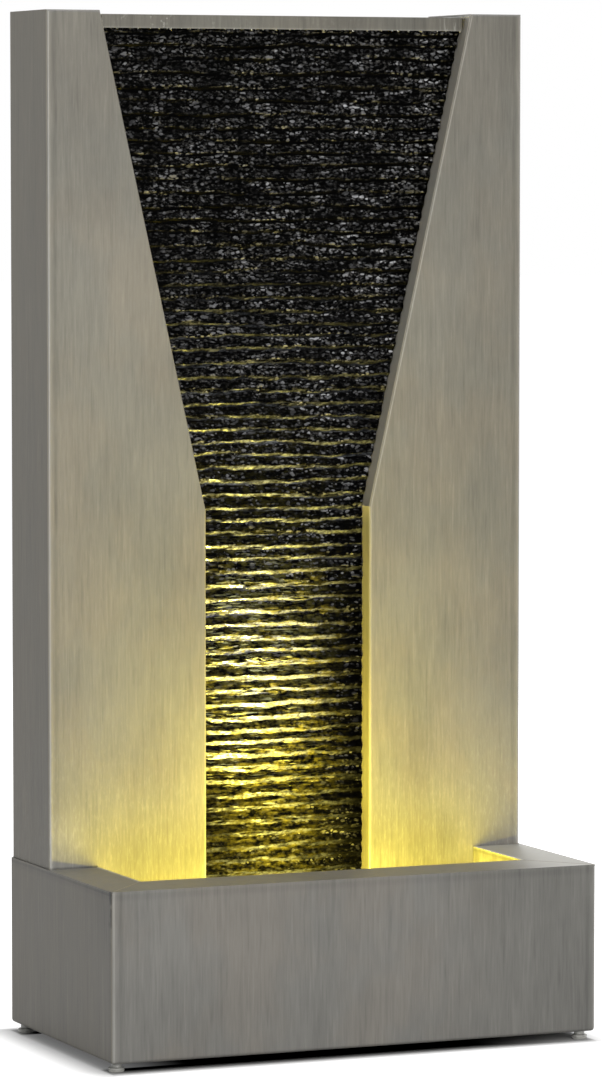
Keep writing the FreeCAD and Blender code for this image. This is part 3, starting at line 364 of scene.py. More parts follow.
def made_by_nodes(name, sizes, build, material):
    """A piece from Geometry Nodes: its named sizes, a function that builds it, and its material."""
    group = bpy.data.node_groups.new(name, "GeometryNodeTree")
    tree = Tree(group)
    kinds = {int: "NodeSocketInt", float: "NodeSocketFloat"}
    entries = {label: group.interface.new_socket(label, in_out="INPUT", socket_type=kinds[type(value)])
               for label, value in sizes.items()}
    group.interface.new_socket("Geometry", in_out="OUTPUT", socket_type="NodeSocketGeometry")
    source = group.nodes.new("NodeGroupInput")
    shape = build(tree, {label: Socket(tree, source.outputs[label]) for label in sizes})
    shape = tree.node("GeometryNodeRealizeInstances", {}, {0: shape})
    shape = tree.node("GeometryNodeSetMaterial", {}, {"Geometry": shape, "Material": material})
    tree.node("NodeGroupOutput", {}, {"Geometry": shape})
    piece = added(name, bpy.data.meshes.new(name))
    modifier = piece.modifiers.new(name, "NODES")
    modifier.node_group = group
    for label, entry in entries.items():
        modifier[entry.identifier] = sizes[label]
    bpy.context.view_layer.update()
    evaluated = piece.evaluated_get(bpy.context.evaluated_depsgraph_get())
    mesh = bpy.data.meshes.new_from_object(evaluated)
    piece.modifiers.remove(modifier)
    piece.data = mesh
    mesh.name = name
    return piece


def softened(tree, shape):
    """Smooth faces, with every edge that turns by more than 35 degrees left sharp."""
    shape = tree.node("GeometryNodeSetShadeSmooth", {"domain": "FACE"}, {0: shape})
    turn = tree.node("GeometryNodeInputMeshEdgeAngle")
    return tree.node("GeometryNodeSetShadeSmooth", {"domain": "EDGE"},
                     {0: shape, "Selection": turn > math.radians(35), "Shade Smooth": False})


def moved(tree, shape, place=None, turn=None):
    return tree.node("GeometryNodeTransform", {},
                     {"Geometry": shape, "Translation": place, "Rotation": turn})


def rippled_beads(tree, size):
    """A bead of overlapping ripples at each side, from its inner end to its outer end."""
    ripple = tree.node("GeometryNodeMeshUVSphere", {}, {"Segments": 10, "Rings": 6, "Radius": size["Bead"]})
    ripple = tree.node("GeometryNodeTransform", {},
                       {"Geometry": ripple, "Scale": tree.join(1, 1, size["Flatness"])})
    seams = []
    for side in (-1, 1):
        inner = tree.join(size["Inner half"] * side, size["Inner edge"], size["Height"])
        outer = tree.join(size["Outer half"] * side, size["Outer edge"], size["Height"])
        seams.append(tree.node("GeometryNodeMeshLine", {"mode": "END_POINTS"},
                               {"Count": size["Ripples"], "Start Location": inner, "Offset": outer}))
    spots = tree.node("GeometryNodeJoinGeometry", {}, {0: seams})
    swing = tree.chance(0.8, 1.15, 4)
    beads = tree.node("GeometryNodeInstanceOnPoints", {},
                      {"Points": spots, "Instance": ripple, "Scale": swing})
    return softened(tree, tree.node("GeometryNodeRealizeInstances", {}, {0: beads}))


weld = Finish("weld_bead")
weld_shade = weld.shade((0.19, 0.18, 0.155), 0.8 + weld.speckled(700) * 0.5)
weld_finish = weld.surface(base_color=weld_shade, metallic=0.4,
                           roughness=0.34 + weld.speckled(300) * 0.2,
                           normal=weld.bump(weld.speckled(900), 0.0002, 0.5))
rim_beads = made_by_nodes(
    "rim_mitre_beads", {"Bead": 0.0011, "Inner half": RIM_HALF + 0.001, "Inner edge": RIM_EDGE - 0.001,
                        "Outer half": RIM_HALF + RIM_SIDE - 0.003, "Outer edge": RIM_EDGE - RIM_FRONT + 0.003,
                        "Height": RIM_TOP, "Ripples": 62, "Flatness": 0.16}, rippled_beads, weld_finish)
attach(rim_beads, "fountain")


# Four round glides of pale clear plastic hold the basin off the ground. Each is moulded with a rounded
# foot and a narrower neck, and is pressed into a hole in the basin's floor, near a corner.


def round_glides(tree, size):
    """A turned glide at each corner: its radius follows its height."""
    body = tree.node("GeometryNodeMeshCylinder", {}, {"Vertices": 40, "Side Segments": 18,
                     "Radius": size["Radius"], "Depth": size["Height"]})
    x, y, z = tree.split(tree.node("GeometryNodeInputPosition"))
    up = z + size["Height"] / 2
    low = (size["Rounding"] - up).at_least(0)
    inset = size["Rounding"] - (size["Rounding"] ** 2 - low ** 2) ** 0.5
    shoulder = tree.between(up, size["Pad"], size["Pad"] + size["Rounding"])
    groove = (size["Groove"] - abs(up - size["Pad"] / 2)).at_least(0)
    radius = size["Radius"] - inset - groove - shoulder * (size["Radius"] - size["Neck"])
    share = radius / size["Radius"]
    body = tree.node("GeometryNodeSetPosition", {},
                     {"Geometry": body, "Position": tree.join(x * share, y * share, up)})
    corners = tree.node("GeometryNodeMeshGrid", {}, {"Size X": size["Across"], "Size Y": size["Along"],
                        "Vertices X": 2, "Vertices Y": 2})
    return tree.node("GeometryNodeInstanceOnPoints", {},
                     {"Points": corners, "Instance": softened(tree, body)})


clear = Finish("clear_glide")
clear_cloud = clear.speckled(260, detail=3)
glide_finish = clear.surface(
    base_color=clear.shade((0.50, 0.50, 0.47), 0.70 + clear_cloud * 0.60), transmission_weight=0.25,
    roughness=0.08 + clear_cloud * 0.14, normal=clear.bump(clear_cloud, 0.0002, 0.4))
glides = made_by_nodes("round_glides", {"Radius": 0.0075, "Height": 0.009, "Pad": 0.004, "Neck": 0.005,
                                        "Rounding": 0.0012, "Groove": 0.0004, "Across": 0.48,
                                        "Along": 0.245}, round_glides, glide_finish)
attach(glides, "fountain")
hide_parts("front_left_foot", "front_right_foot", "back_left_foot", "back_right_foot")


# The two casings are each folded from one brushed sheet: side, front, the return along the slanted and
# upright edge of the opening, and a hem that the back panel is screwed to.

SPLASH_HEIGHT = 0.36


def splash_marks(finish):
    """Short drips of lime where the water splashes, low on the sheet."""
    drips = finish.between(finish.stretched(430, 430, 90, detail=4, roughness=0.7), 0.46, 0.72)
    low = finish.fades(finish.z, 0.18, SPLASH_HEIGHT)
    return drips * (0.05 + low * 0.15)


paint(brushed_sheet("casing_sheet", limed=splash_marks), "left_casing", "right_casing")


# A bead of grey sealant closes the open end of each casing's top, beside the cover. It is pressed from
# a cartridge and smoothed, so that its ripples run into one another.

sealant = Finish("grey_sealant")
sealant_cloud = sealant.speckled(350)
sealant_finish = sealant.surface(base_color=sealant.shade((0.44, 0.44, 0.42), 0.7 + sealant_cloud * 0.5),
                                 roughness=0.4 + sealant_cloud * 0.2)
sealant_beads = made_by_nodes(
    "sealant_beads", {"Bead": 0.0015, "Inner half": 0.1946, "Inner edge": 0.0372, "Outer half": 0.1946,
                      "Outer edge": 0.1315, "Height": 0.9882, "Ripples": 110, "Flatness": 1.05},
    rippled_beads, sealant_finish)
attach(sealant_beads, "fountain")


# The water wall is a moulded panel of black resin. Its face has some seventy uneven level ridges like
# split slate, which break the water up. Foam strips seal it against the seats of both casings.

KNEE_HALF = 0.086
TOP_HALF = 0.194
COLUMN_TOP = 0.991
EDGE_GAP = 0.0008
WALL_LAP = 0.010
PLATE_THICK = 0.006
GROOVE_STEP = 0.002
RIDGE_PITCH = 0.0127
RIDGE_DEPTH = 0.0037
CORE_FOOT = (0.21, 0.28)
CORE_TOP = (0.38, 0.50)
GLOW_TOP = (0.42, 0.66)
UNLIT_FOOT = (0.50, 0.70)
FILM_FOOT = (0.20, 0.32)
FILM_TOP = (0.46, 0.79)
DROPS_FOOT = (0.28, 0.56)


def ridged_face(tree, size):
    """The ridged front of the wall: a grid as wide as the opening, pushed out into uneven ridges."""
    grid = tree.node("GeometryNodeMeshGrid", {}, {"Size X": 2.0, "Size Y": 1.0,
                     "Vertices X": size["Columns"], "Vertices Y": size["Rows"]})
    across, up, _ = tree.split(tree.node("GeometryNodeInputPosition"))
    level = up + 0.5
    level = level * (size["Low share"] + (1 - size["Low share"]) * level)
    height = size["Bottom"] + level * (size["Top"] - size["Bottom"])
    slant = (size["Top half"] - size["Knee half"]) / (size["Slant top"] - size["Knee height"])
    half = size["Knee half"] + ((height - size["Knee height"]) * slant).at_least(0)
    x = across * (half - size["Edge gap"])

    def waves(across_cells, up_cells, detail=2, seed=0):
        place = tree.join(x * across_cells, size["Seed"] + seed, height * up_cells)
        return tree.noise(place, detail) - 0.5

    wander = waves(7, 28, 1, 1) * 0.009 + waves(42, 80, 2, 2) * 0.0064 + waves(0.1, 14, 1, 3) * 0.009
    turn = (height + wander) / size["Pitch"]
    step = turn.fraction()
    lip = 0.42
    rise = (step / lip).at_most(1)
    fall = ((step - lip).at_least(0) / (1 - lip)) ** 1.4
    ridge = rise * (1 - fall)
    strength = 0.74 + waves(16, 70, 2, 4) * 1.2 + waves(60, 110, 1, 8) * 0.8
    stone = waves(34, 250, 2, 5) * 0.0034 + waves(110, 440, 1, 6) * 0.0009
    out = (ridge * strength).at_least(0) * size["Depth"] + stone
    y = size["Groove"] - out.at_least(0).at_most(size["Depth"] + 0.0006)
    shape = tree.node("GeometryNodeSetPosition", {},
                      {"Geometry": grid, "Position": tree.join(x, y, height)})
    shape = tree.node("GeometryNodeStoreNamedAttribute", {"data_type": "FLOAT", "domain": "POINT"},
                      {"Geometry": shape, "Name": "crest", "Value": ridge})
    return tree.node("GeometryNodeSetShadeSmooth", {}, {0: shape})


wet = Finish("wet_black_resin")


def sparkle(across_cells, up_cells, size, rarity, shift):
    """Painted glints of drops of many sizes and brightnesses: the rarer they are, the fewer of them are
    bright.
    """
    shaken = wet.speckled(140, detail=1).also("Color")
    place = wet.node("ShaderNodeVectorMath", {"operation": "MULTIPLY_ADD"},
                     {0: shaken, 1: (1.2, 1.2, 1.2), 2: wet.scaled(across_cells, across_cells, up_cells)})
    place = wet.node("ShaderNodeVectorMath", {"operation": "ADD"}, {0: place, 1: (shift, shift, shift)})
    near = wet.cells(place)
    luck, _, _ = wet.split(near.also("Color"))
    return wet.fades(near, size * 0.35, size) * luck ** rarity


crest = wet.node("ShaderNodeAttribute", {"attribute_name": "crest"}, output="Fac")
patchy = wet.between(wet.stretched(34, 34, 50), 0.38, 0.62) * 0.75 + 0.25
on_ridge = 0.15 + wet.between(crest, 0.2, 0.75) * 0.85
open_above = wet.fades(-wet.facing_z, 0.2, 0.5)
# These masks follow the lamp's light on the wall and shape the painted light below: how high it reaches, its
# hot core, and its fading to the right.
low = wet.fades(wet.z, *GLOW_TOP)
bathed = wet.fades(wet.z, *CORE_TOP)
hot = wet.between(wet.z, *CORE_FOOT) * bathed
climb = wet.between(wet.z, *UNLIT_FOOT)
leftward = wet.fades(wet.x, -0.015, 0.08)
# Dims the painted light near the wall's left edge, low down.
left_edge_dim = 1 - wet.fades(wet.x, -0.09, -0.03) * low * 0.45
sideways = (1 - (1 - leftward) * low * 0.96) * left_edge_dim
dense = hot * wet.fades(wet.x, -0.045, 0.055)


def painted_drop_glints():
    """Painted glints: pale specks for drops and spray on the ridges, sparser where the lamp shines from
    below.
    """
    spray = wet.between(wet.stretched(300, 300, 440, detail=1, roughness=0.7), 0.6, 0.76)
    spray = spray * wet.between(wet.stretched(80, 80, 130, detail=1), 0.45, 0.66)
    drop_glints = sparkle(190, 330, 0.46, 5, 0) + sparkle(120, 240, 0.42, 8, 7)
    thick = 0.2 + wet.between(wet.z, *DROPS_FOOT) * 0.8
    return (drop_glints * 4.6 + spray * 1.3).at_most(1) * patchy * on_ridge * thick * open_above


def running_film():
    """The film of water under the ridges' edges, which shines back the lamp's light in level lines."""
    # Painted reflection: the film is laid only where the lamp's reflection shows, so it is thinned up high,
    # to the right and at the left edge.
    running = 0.003 + wet.fades(wet.z, *FILM_TOP) * 0.997
    running = running * (1 - climb * wet.between(wet.x, -0.06, 0.08) * 0.8)
    broken = wet.between(wet.stretched(55, 55, 130, detail=3), 0.36, 0.6) * 0.8 + 0.2
    frayed = wet.between(wet.stretched(260, 260, 420), 0.36, 0.6) * 0.75 + 0.25
    sheet = wet.between(dense * 0.16 - wet.facing_z, 0.2, 0.5)
    shining = sheet * running * sideways * (broken + dense * 0.3).at_most(1) * frayed
    return shining * (0.43 + wet.between(wet.z, *FILM_FOOT) * 0.57)


drops = painted_drop_glints()
film = running_film()
pitted = wet.between(wet.stretched(240, 240, 380, roughness=0.6), 0.42, 0.78)
# Grey pitting that is also a painted sheen: it is thinned low down and to the right, and fuller in the unlit
# top.
pits_and_sheen = pitted ** 2 * patchy * (on_ridge * 0.6 + 0.4) * open_above * (sideways * 0.8 + 0.2)
pits_and_sheen = pits_and_sheen * (1 - low * 0.8) * (1 + climb * 0.8)
blotched = wet.between(wet.stretched(130, 130, 260, detail=4, roughness=0.65), 0.40, 0.72)
# Painted glow: an olive-yellow colour where the lamp lights the ridges, low down and to the left.
painted_glow = leftward * low * left_edge_dim * (0.25 + hot * 0.75) * blotched * (0.25 + crest * 0.75)
# Painted highlight: second pale lines beside the lamp's bright lines in its hot core.
painted_double_lines = wet.between(wet.stretched(75, 75, 560, detail=3, roughness=0.6), 0.55, 0.64)
painted_double_lines = painted_double_lines * wet.between(wet.stretched(30, 30, 90, detail=1), 0.42, 0.6) * dense * left_edge_dim
# The film's colour is bluer where the core lamp reaches, so that the lamp's reflection in it reads cream.
film_colour = wet.mix(bathed, (0.168, 0.177, 0.190), (0.154, 0.167, 0.300))
wet_colour = wet.mix(pits_and_sheen, (0.0004, 0.0004, 0.0004), (0.130, 0.126, 0.120))
wet_colour = wet.mix(painted_glow, wet_colour, (0.32, 0.285, 0.070))
wet_colour = wet.mix(painted_double_lines * open_above, wet_colour, (0.52, 0.52, 0.26))
wet_colour = wet.mix(film, wet_colour, film_colour)
# The drops' pale colour is a painted glint; the drops also raise a small bump on the surface.
wet_colour = wet.mix(drops, wet_colour, (0.80, 0.80, 0.83))
ripples = wet.stretched(45, 45, 470, roughness=0.6)
wet_normal = wet.bump(ripples, 0.0011, 0.8)
wet_normal = wet.bump(drops, 0.0003, 0.4, wet_normal)
wet_finish = wet.surface(
    base_color=wet_colour, metallic=film * (1 - drops), specular_ior_level=0.009, normal=wet_normal,
    roughness=0.24 + film * 0.04 + wet.speckled(90) * 0.08)

wall_low, wall_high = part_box("water_wall")
wall_sizes = {"Rows": 880, "Columns": 102, "Seed": 3.0, "Bottom": wall_low.z, "Top": wall_high.z,
              "Low share": 0.7, "Knee height": KNEE_HEIGHT, "Knee half": KNEE_HALF, "Top half": TOP_HALF,
              "Slant top": COLUMN_TOP, "Edge gap": EDGE_GAP, "Pitch": RIDGE_PITCH,
              "Groove": wall_high.y - PLATE_THICK - GROOVE_STEP, "Depth": RIDGE_DEPTH}
water_wall = made_by_nodes("wet_ridged_wall", wall_sizes, ridged_face, wet_finish)


def backed(piece, plate_front, plate_back, lap):
    """Closes the ridged face: back to the plate, out under the seats, and across the plate's back."""
    shape = bmesh.new()
    shape.from_mesh(piece.data)
    rim = [edge for edge in shape.edges if edge.is_boundary]
    for depth, reach in ((plate_front, 0), (plate_front, lap), (plate_back, 0)):
        grown = bmesh.ops.extrude_edge_only(shape, edges=rim)["geom"]
        rim = [part for part in grown if isinstance(part, bmesh.types.BMEdge)]
        for corner in {end for edge in rim for end in edge.verts}:
            corner.co.y = depth
            corner.co.x += math.copysign(reach, corner.co.x)
    bmesh.ops.holes_fill(shape, edges=rim, sides=0)
    bmesh.ops.recalc_face_normals(shape, faces=shape.faces)
    # The order that the extrusion gives its faces changes from run to run, so they are sorted.
    in_order = sorted(shape.faces, key=lambda face: face.calc_center_median()[:])
    for number, face in enumerate(in_order):
        face.index = number
    shape.faces.sort()
    shape.to_mesh(piece.data)
    shape.free()


backed(water_wall, wall_high.y - PLATE_THICK, wall_high.y, WALL_LAP)
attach(water_wall, "fountain")
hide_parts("water_wall")


# Two strips of closed-cell foam lie between the seats of the casings and the face of the water wall.
# They are cut from one sheet, stuck on, and keep the water on the ridges.

foam = Finish("closed_cell_foam")
cells = foam.cells(foam.scaled(900, 900, 900))
foam_shade = foam.shade((0.045, 0.045, 0.044), 0.55 + foam.between(cells, 0.1, 0.7) * 0.7)
paint(foam.surface(base_color=foam_shade, roughness=0.82 + foam.speckled(200) * 0.15,
                   normal=foam.bump(cells, 0.0004, 0.8)), "left_panel_seal", "right_panel_seal")


# Folded bridges and channels of plain sheet carry the water wall: a support under its foot, and three
# battens across its back. They are cut, folded and left as rolled, with a tide mark low down.

TIDE_HEIGHT = 0.135


def tide_marks(finish):
    """A pale line of lime where the basin's water ends, and a few marks below it."""
    wave = finish.stretched(20, 20, 1) * 0.012
    line = finish.fades(abs(finish.z - TIDE_HEIGHT + wave), 0.001, 0.005)
    below = finish.between(TIDE_HEIGHT - finish.z, 0, 0.02)
    marks = finish.between(finish.stretched(70, 70, 45, detail=4), 0.5, 0.7)
    return (line * 0.5 + below * marks * 0.45).at_most(0.8)


rolled_finish = brushed_sheet("rolled_sheet", grain=ROLLED, limed=tide_marks)
paint(rolled_finish, "panel_support", "upper_batten", "middle_batten", "lower_batten")


# The header trough is a folded tray behind the wall's top edge, with a nose that leads the water over
# it. It stands on a ledge that is fixed to the back panel, and lime builds up inside it.

TROUGH_WATER = 0.974


def trough_lime(finish):
    """Lime in patches, below the level that the water has in the trough."""
    marks = finish.between(finish.stretched(60, 60, 30, detail=4), 0.4, 0.68)
    return marks * finish.between(TROUGH_WATER - finish.z, -0.002, 0.006) * 0.6 + 0.04


paint(brushed_sheet("trough_sheet", grain=ROLLED, limed=trough_lime), "header_trough", "trough_ledge")


# The inlet and its nut are moulded of black plastic. The inlet passes up through the trough's floor,
# and the six-sided nut under the floor holds it there.


def moulded(name, colour, rough, grain=900, lime=0.0):
    """Moulded plastic or rubber: fine spark texture, slight mottling, and lime where it stands in water."""
    finish = Finish(name)
    texture = finish.speckled(grain, detail=1)
    mottle = finish.speckled(30, detail=3)
    tint = finish.shade(colour, 0.72 + mottle * 0.36 + texture * 0.2)
    film = finish.between(finish.stretched(75, 75, 110, detail=4, roughness=0.65), 0.5, 0.74)
    tint = finish.mix(film * lime, tint, LIME)
    return finish.surface(base_color=tint, roughness=rough + mottle * 0.12 + film * lime * 0.2,
                          normal=finish.bump(texture, 0.0002, 0.55))


black_plastic = moulded("black_moulding", (0.030, 0.030, 0.032), 0.42)
paint(black_plastic, "trough_inlet", "inlet_nut")


# The cover lies over the trough between the casings. It is one brushed sheet, and the lip that is
# folded down in front of it is the strip that shows above the ridges, specked with lime at the left.

LIP_FRONT = 0.0429
LIP_LOW = 0.9745


def lip_lime(finish):
    """Lime specks on the lip, most at the left, a paler lower edge, and pale streaks at the right: painted
    water glints.
    """
    specks = finish.between(finish.stretched(360, 360, 300), 0.58, 0.7)
    patches = finish.between(finish.speckled(28), 0.45, 0.6)
    leftward = 0.12 + finish.between(-finish.x, 0.02, 0.17) * 0.88
    pale_lower_edge = finish.fades(finish.z, LIP_LOW, LIP_LOW + 0.0022)
    # Painted glints: pale streaks where water glints at the lip's right end.
    glint_runs = finish.between(finish.stretched(420, 420, 60), 0.52, 0.66)
    glint_runs = glint_runs * finish.between(finish.x, 0.160, 0.176)
    return (specks * patches * leftward + pale_lower_edge * 0.4 + glint_runs * 0.8).at_most(0.9)


paint(brushed_sheet("cover_sheet", limed=lip_lime, ground=0.16), "top_cover")


# Drops of water hang from the lip's lower edge. They are clear, of uneven sizes and spacing, and go
# with the cover when it is lifted.


def hanging_drops(tree, size):
    """Drops along the lip's edge, each at a random place, size and length."""
    start = tree.join(-size["Half"], size["Depth place"], size["Edge height"])
    end = tree.join(size["Half"], size["Depth place"], size["Edge height"])
    spots = tree.node("GeometryNodeMeshLine", {"mode": "END_POINTS"},
                      {"Count": size["Drops"], "Start Location": start, "Offset": end})
    shift = tree.join(tree.chance(-0.006, 0.006, 1), 0, 0)
    spots = tree.node("GeometryNodeSetPosition", {}, {"Geometry": spots, "Offset": shift})
    drop = tree.node("GeometryNodeMeshUVSphere", {}, {"Segments": 12, "Rings": 8, "Radius": 1.0})
    wide = size["Largest"] * (0.35 + tree.chance(0, 1, 2) ** 2 * 0.65)
    scale = tree.join(wide, size["Sheet"] * 0.5 * tree.chance(0.9, 1.1, 3), wide * tree.chance(1.0, 1.5, 4))
    drops = tree.node("GeometryNodeInstanceOnPoints", {}, {"Points": spots, "Instance": drop, "Scale": scale})
    return softened(tree, tree.node("GeometryNodeRealizeInstances", {}, {0: drops}))


water = Finish("clear_water")
water_cloud = water.speckled(400)
water_finish = water.surface(base_color=water.shade((0.93, 0.95, 0.96), 0.95 + water_cloud * 0.1),
                             roughness=0.02 + water_cloud * 0.03, transmission_weight=0.9, ior=1.33)
lip_drops = made_by_nodes("lip_drops", {"Half": 0.184, "Depth place": LIP_FRONT + 0.0006,
                                        "Edge height": LIP_LOW - 0.0001, "Sheet": 0.0012,
                                        "Largest": 0.0013, "Drops": 46}, hanging_drops, water_finish)
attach(lip_drops, "cover")


# The back panel closes the column. It is plain rolled sheet, cut and drilled, and is screwed to the
# hems of both casings. Low down it has the pump's service opening and the hole for the leads.

BACK_FACE = 0.1344

paint(brushed_sheet("back_sheet", grain=ROLLED), "back_panel")


# Eight pan-head screws with a cross recess hold the back panel. They are headed cold from wire, their
# threads are rolled, and they are plated with bright zinc.


def cross_screws(tree, size):
    """Screws on a grid of places: a domed head with its recess cut in, and a threaded shank."""
    spots = tree.node("GeometryNodeMeshGrid", {}, {"Size X": size["Across"], "Size Y": size["Up"],
                      "Vertices X": 2, "Vertices Y": size["Rows"]})
    spots = tree.node("GeometryNodeMergeByDistance", {}, {0: spots})
    middle = tree.join(0, size["Seat"], size["Centre height"])
    spots = moved(tree, spots, middle, (math.radians(90), 0, 0))
    x, y, z = tree.split(tree.node("GeometryNodeInputPosition"))
    head = tree.node("GeometryNodeMeshCylinder", {"fill_type": "TRIANGLE_FAN"},
                     {"Vertices": 28, "Side Segments": 4, "Fill Segments": 4,
                      "Radius": size["Head radius"], "Depth": size["Head height"]})
    up = z / size["Head height"] + 0.5
    reach = (x * x + y * y) ** 0.5 / size["Head radius"]
    narrow = 1 - up ** 3 * 0.24
    rise = (up * 0.66 + (1 - reach ** 2) * up * 0.34) * size["Head height"]
    head = tree.node("GeometryNodeSetPosition", {},
                     {"Geometry": head, "Position": tree.join(x * narrow, y * narrow, rise)})
    arm = size["Head radius"] * 1.15
    slots = []
    for wide, long in ((size["Recess"], arm), (arm, size["Recess"])):
        block = tree.join(wide, long, size["Head height"] * 1.3)
        bar = tree.node("GeometryNodeMeshCube", {}, {"Size": block})
        slots.append(moved(tree, bar, tree.join(0, 0, size["Head height"] * 1.15)))
    head = tree.node("GeometryNodeMeshBoolean", {"operation": "DIFFERENCE"},
                     {"Mesh 1": head, "Mesh 2": slots})
    shank = tree.node("GeometryNodeMeshCylinder", {}, {"Vertices": 16, "Side Segments": 32,
                      "Radius": size["Shank radius"], "Depth": size["Length"]})
    turn = y.math("ARCTAN2", y, x) / math.tau
    thread = abs((z / size["Pitch"] - turn).fraction() - 0.5) * 2
    point = ((z + size["Length"] / 2) / size["Head height"]).at_most(1) * 0.7 + 0.3
    share = (1 - thread * 0.2) * point
    threaded = tree.join(x * share, y * share, z - size["Length"] / 2)
    shank = tree.node("GeometryNodeSetPosition", {}, {"Geometry": shank, "Position": threaded})
    screw = softened(tree, tree.node("GeometryNodeJoinGeometry", {}, {0: [head, shank]}))
    facing = tree.join(size["Turn X"], size["Turn Y"] * x.math("SIGN", x), 0)
    placed = tree.node("GeometryNodeInstanceOnPoints", {},
                       {"Points": spots, "Instance": screw, "Rotation": facing})
    spin = tree.chance(0.0, 1.57, 6)
    return tree.node("GeometryNodeRotateInstances", {},
                     {"Instances": placed, "Rotation": tree.join(0, 0, spin), "Local Space": True})


zinc = Finish("bright_zinc")
zinc_cloud = zinc.speckled(500, detail=3)
zinc_shade = zinc.shade((0.52, 0.53, 0.54), 0.75 + zinc_cloud * 0.4)
zinc_finish = zinc.surface(base_color=zinc_shade, metallic=0.9, roughness=0.24 + zinc_cloud * 0.18,
                           normal=zinc.bump(zinc_cloud, 0.0001, 0.5))
screw_sizes = {"Head radius": 0.0032, "Head height": 0.0012, "Shank radius": 0.0015, "Length": 0.006,
               "Pitch": 0.0011, "Recess": 0.0009, "Turn X": math.radians(-90), "Turn Y": 0.0,
               "Seat": BACK_FACE}
back_screws = made_by_nodes("back_panel_cross_screws", {
    **screw_sizes, "Across": 0.482, "Up": 0.7565, "Rows": 4, "Centre height": 0.58075},
    cross_screws, zinc_finish)
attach(back_screws, "fountain")
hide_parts("back_panel_screws")


# The service cover closes the opening that the pump is reached through. Four of the same screws hold
# it at its corners.

SERVICE_THICK = 0.0012

paint(brushed_sheet("service_sheet", grain=ROLLED), "service_cover")
service_screws = made_by_nodes("service_cover_cross_screws", {
    **screw_sizes, "Seat": BACK_FACE + SERVICE_THICK, "Across": 0.102, "Up": 0.102, "Rows": 2,
    "Centre height": 0.2525}, cross_screws, zinc_finish)
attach(service_screws, "fountain")
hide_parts("service_cover_screws")


# The grommet is a ring of soft black rubber with a groove round it. It is pressed into the back panel
# where the leads go out, and keeps them off the sheet's edge.

paint(moulded("soft_rubber", (0.026, 0.026, 0.026), 0.68, grain=500), "lead_grommet")


# The pump stands on the basin's floor on four suckers. Its motor block, volute and slotted strainer
# are moulded of black plastic, and lime gathers on them because they stand in the water.

paint(moulded("pump_moulding", (0.030, 0.030, 0.033), 0.45, lime=0.35),
      "pump_motor_block", "volute_cover", "strainer_cover")
paint(moulded("sucker_rubber", (0.026, 0.026, 0.026), 0.6, grain=400, lime=0.25), "pump_suckers")


# The dial that sets the flow, and the impeller, are moulded of a grey plastic. The rotor is a bar of
# moulded ferrite that turns with the impeller on a fixed ceramic shaft.

paint(moulded("pump_grey", (0.135, 0.137, 0.145), 0.4, lime=0.12), "flow_regulator", "impeller")
paint(moulded("ferrite", (0.075, 0.068, 0.068), 0.38, grain=1600), "pump_rotor")
paint(moulded("polished_ceramic", (0.80, 0.79, 0.75), 0.1, grain=300), "pump_shaft")


# The riser hose is smoke-grey vinyl, extruded, with a wall of 2 mm. It is pushed on the pump's nozzle
# and on the inlet's tail.

vinyl = Finish("smoke_vinyl")
vinyl_wave = vinyl.stretched(110, 110, 14)
vinyl_shade = vinyl.shade((0.10, 0.11, 0.12), 0.7 + vinyl_wave * 0.5)
paint(vinyl.surface(base_color=vinyl_shade, roughness=0.14 + vinyl_wave * 0.16, transmission_weight=0.25,
                    normal=vinyl.bump(vinyl_wave, 0.0006, 0.5)), "riser_hose")


# Two clips of black plastic hold the hose to the battens. A worm-drive clamp of bright steel, with its
# row of slots, tightens it at each end.

CLAMP_SLOTS = 26
SLOT_HALF = 0.0022
WORM_SIDE = 0.0085
LOW_BAND = (0.0994, 0.0842)
HIGH_BAND = (0.0847, 0.915)

paint(black_plastic, "middle_hose_clip", "lower_hose_clip")

clamp = Finish("slotted_band")
band_y, band_z = [clamp.node("ShaderNodeMix", {"data_type": "FLOAT"}, {0: clamp.z > 0.5, 2: low, 3: high})
                  for low, high in zip(LOW_BAND, HIGH_BAND)]
turn = clamp.y.math("ARCTAN2", clamp.y - band_y, clamp.x) / math.tau
on_band = (abs(clamp.z - band_z) < SLOT_HALF) * (clamp.x < WORM_SIDE)
slots = ((turn * CLAMP_SLOTS).fraction() < 0.42) * on_band
band_cloud = clamp.stretched(300, 300, 900, detail=3)
band_shade = clamp.shade((0.46, 0.47, 0.48), 0.75 + band_cloud * 0.45)
# The slots are painted near black, a painted shade in the openings.
band_shade = clamp.mix(slots, band_shade, (0.03, 0.03, 0.03))
paint(clamp.surface(base_color=band_shade, metallic=0.85, roughness=0.26 + band_cloud * 0.2,
                    normal=clamp.bump(1 - slots, 0.0004, 0.8)), "hose_clamps")


# The spotlight stands on the basin's floor in front of the column. Its stand is bent from anodised
# strip. The can and its screwed bezel are turned, and tilt on two screws between the stand's ears.

SPOT_PLACE = (0, -0.0276, 0.117)
SPOT_LEAN = math.radians(30)


def lamp_axes(finish):
    """How far along the lamp's own axis a place is, and how far back across it."""
    back = finish.y - SPOT_PLACE[1]
    up = finish.z - SPOT_PLACE[2]
    axial = back * math.sin(SPOT_LEAN) + up * math.cos(SPOT_LEAN)
    return axial, back * math.cos(SPOT_LEAN) - up * math.sin(SPOT_LEAN)


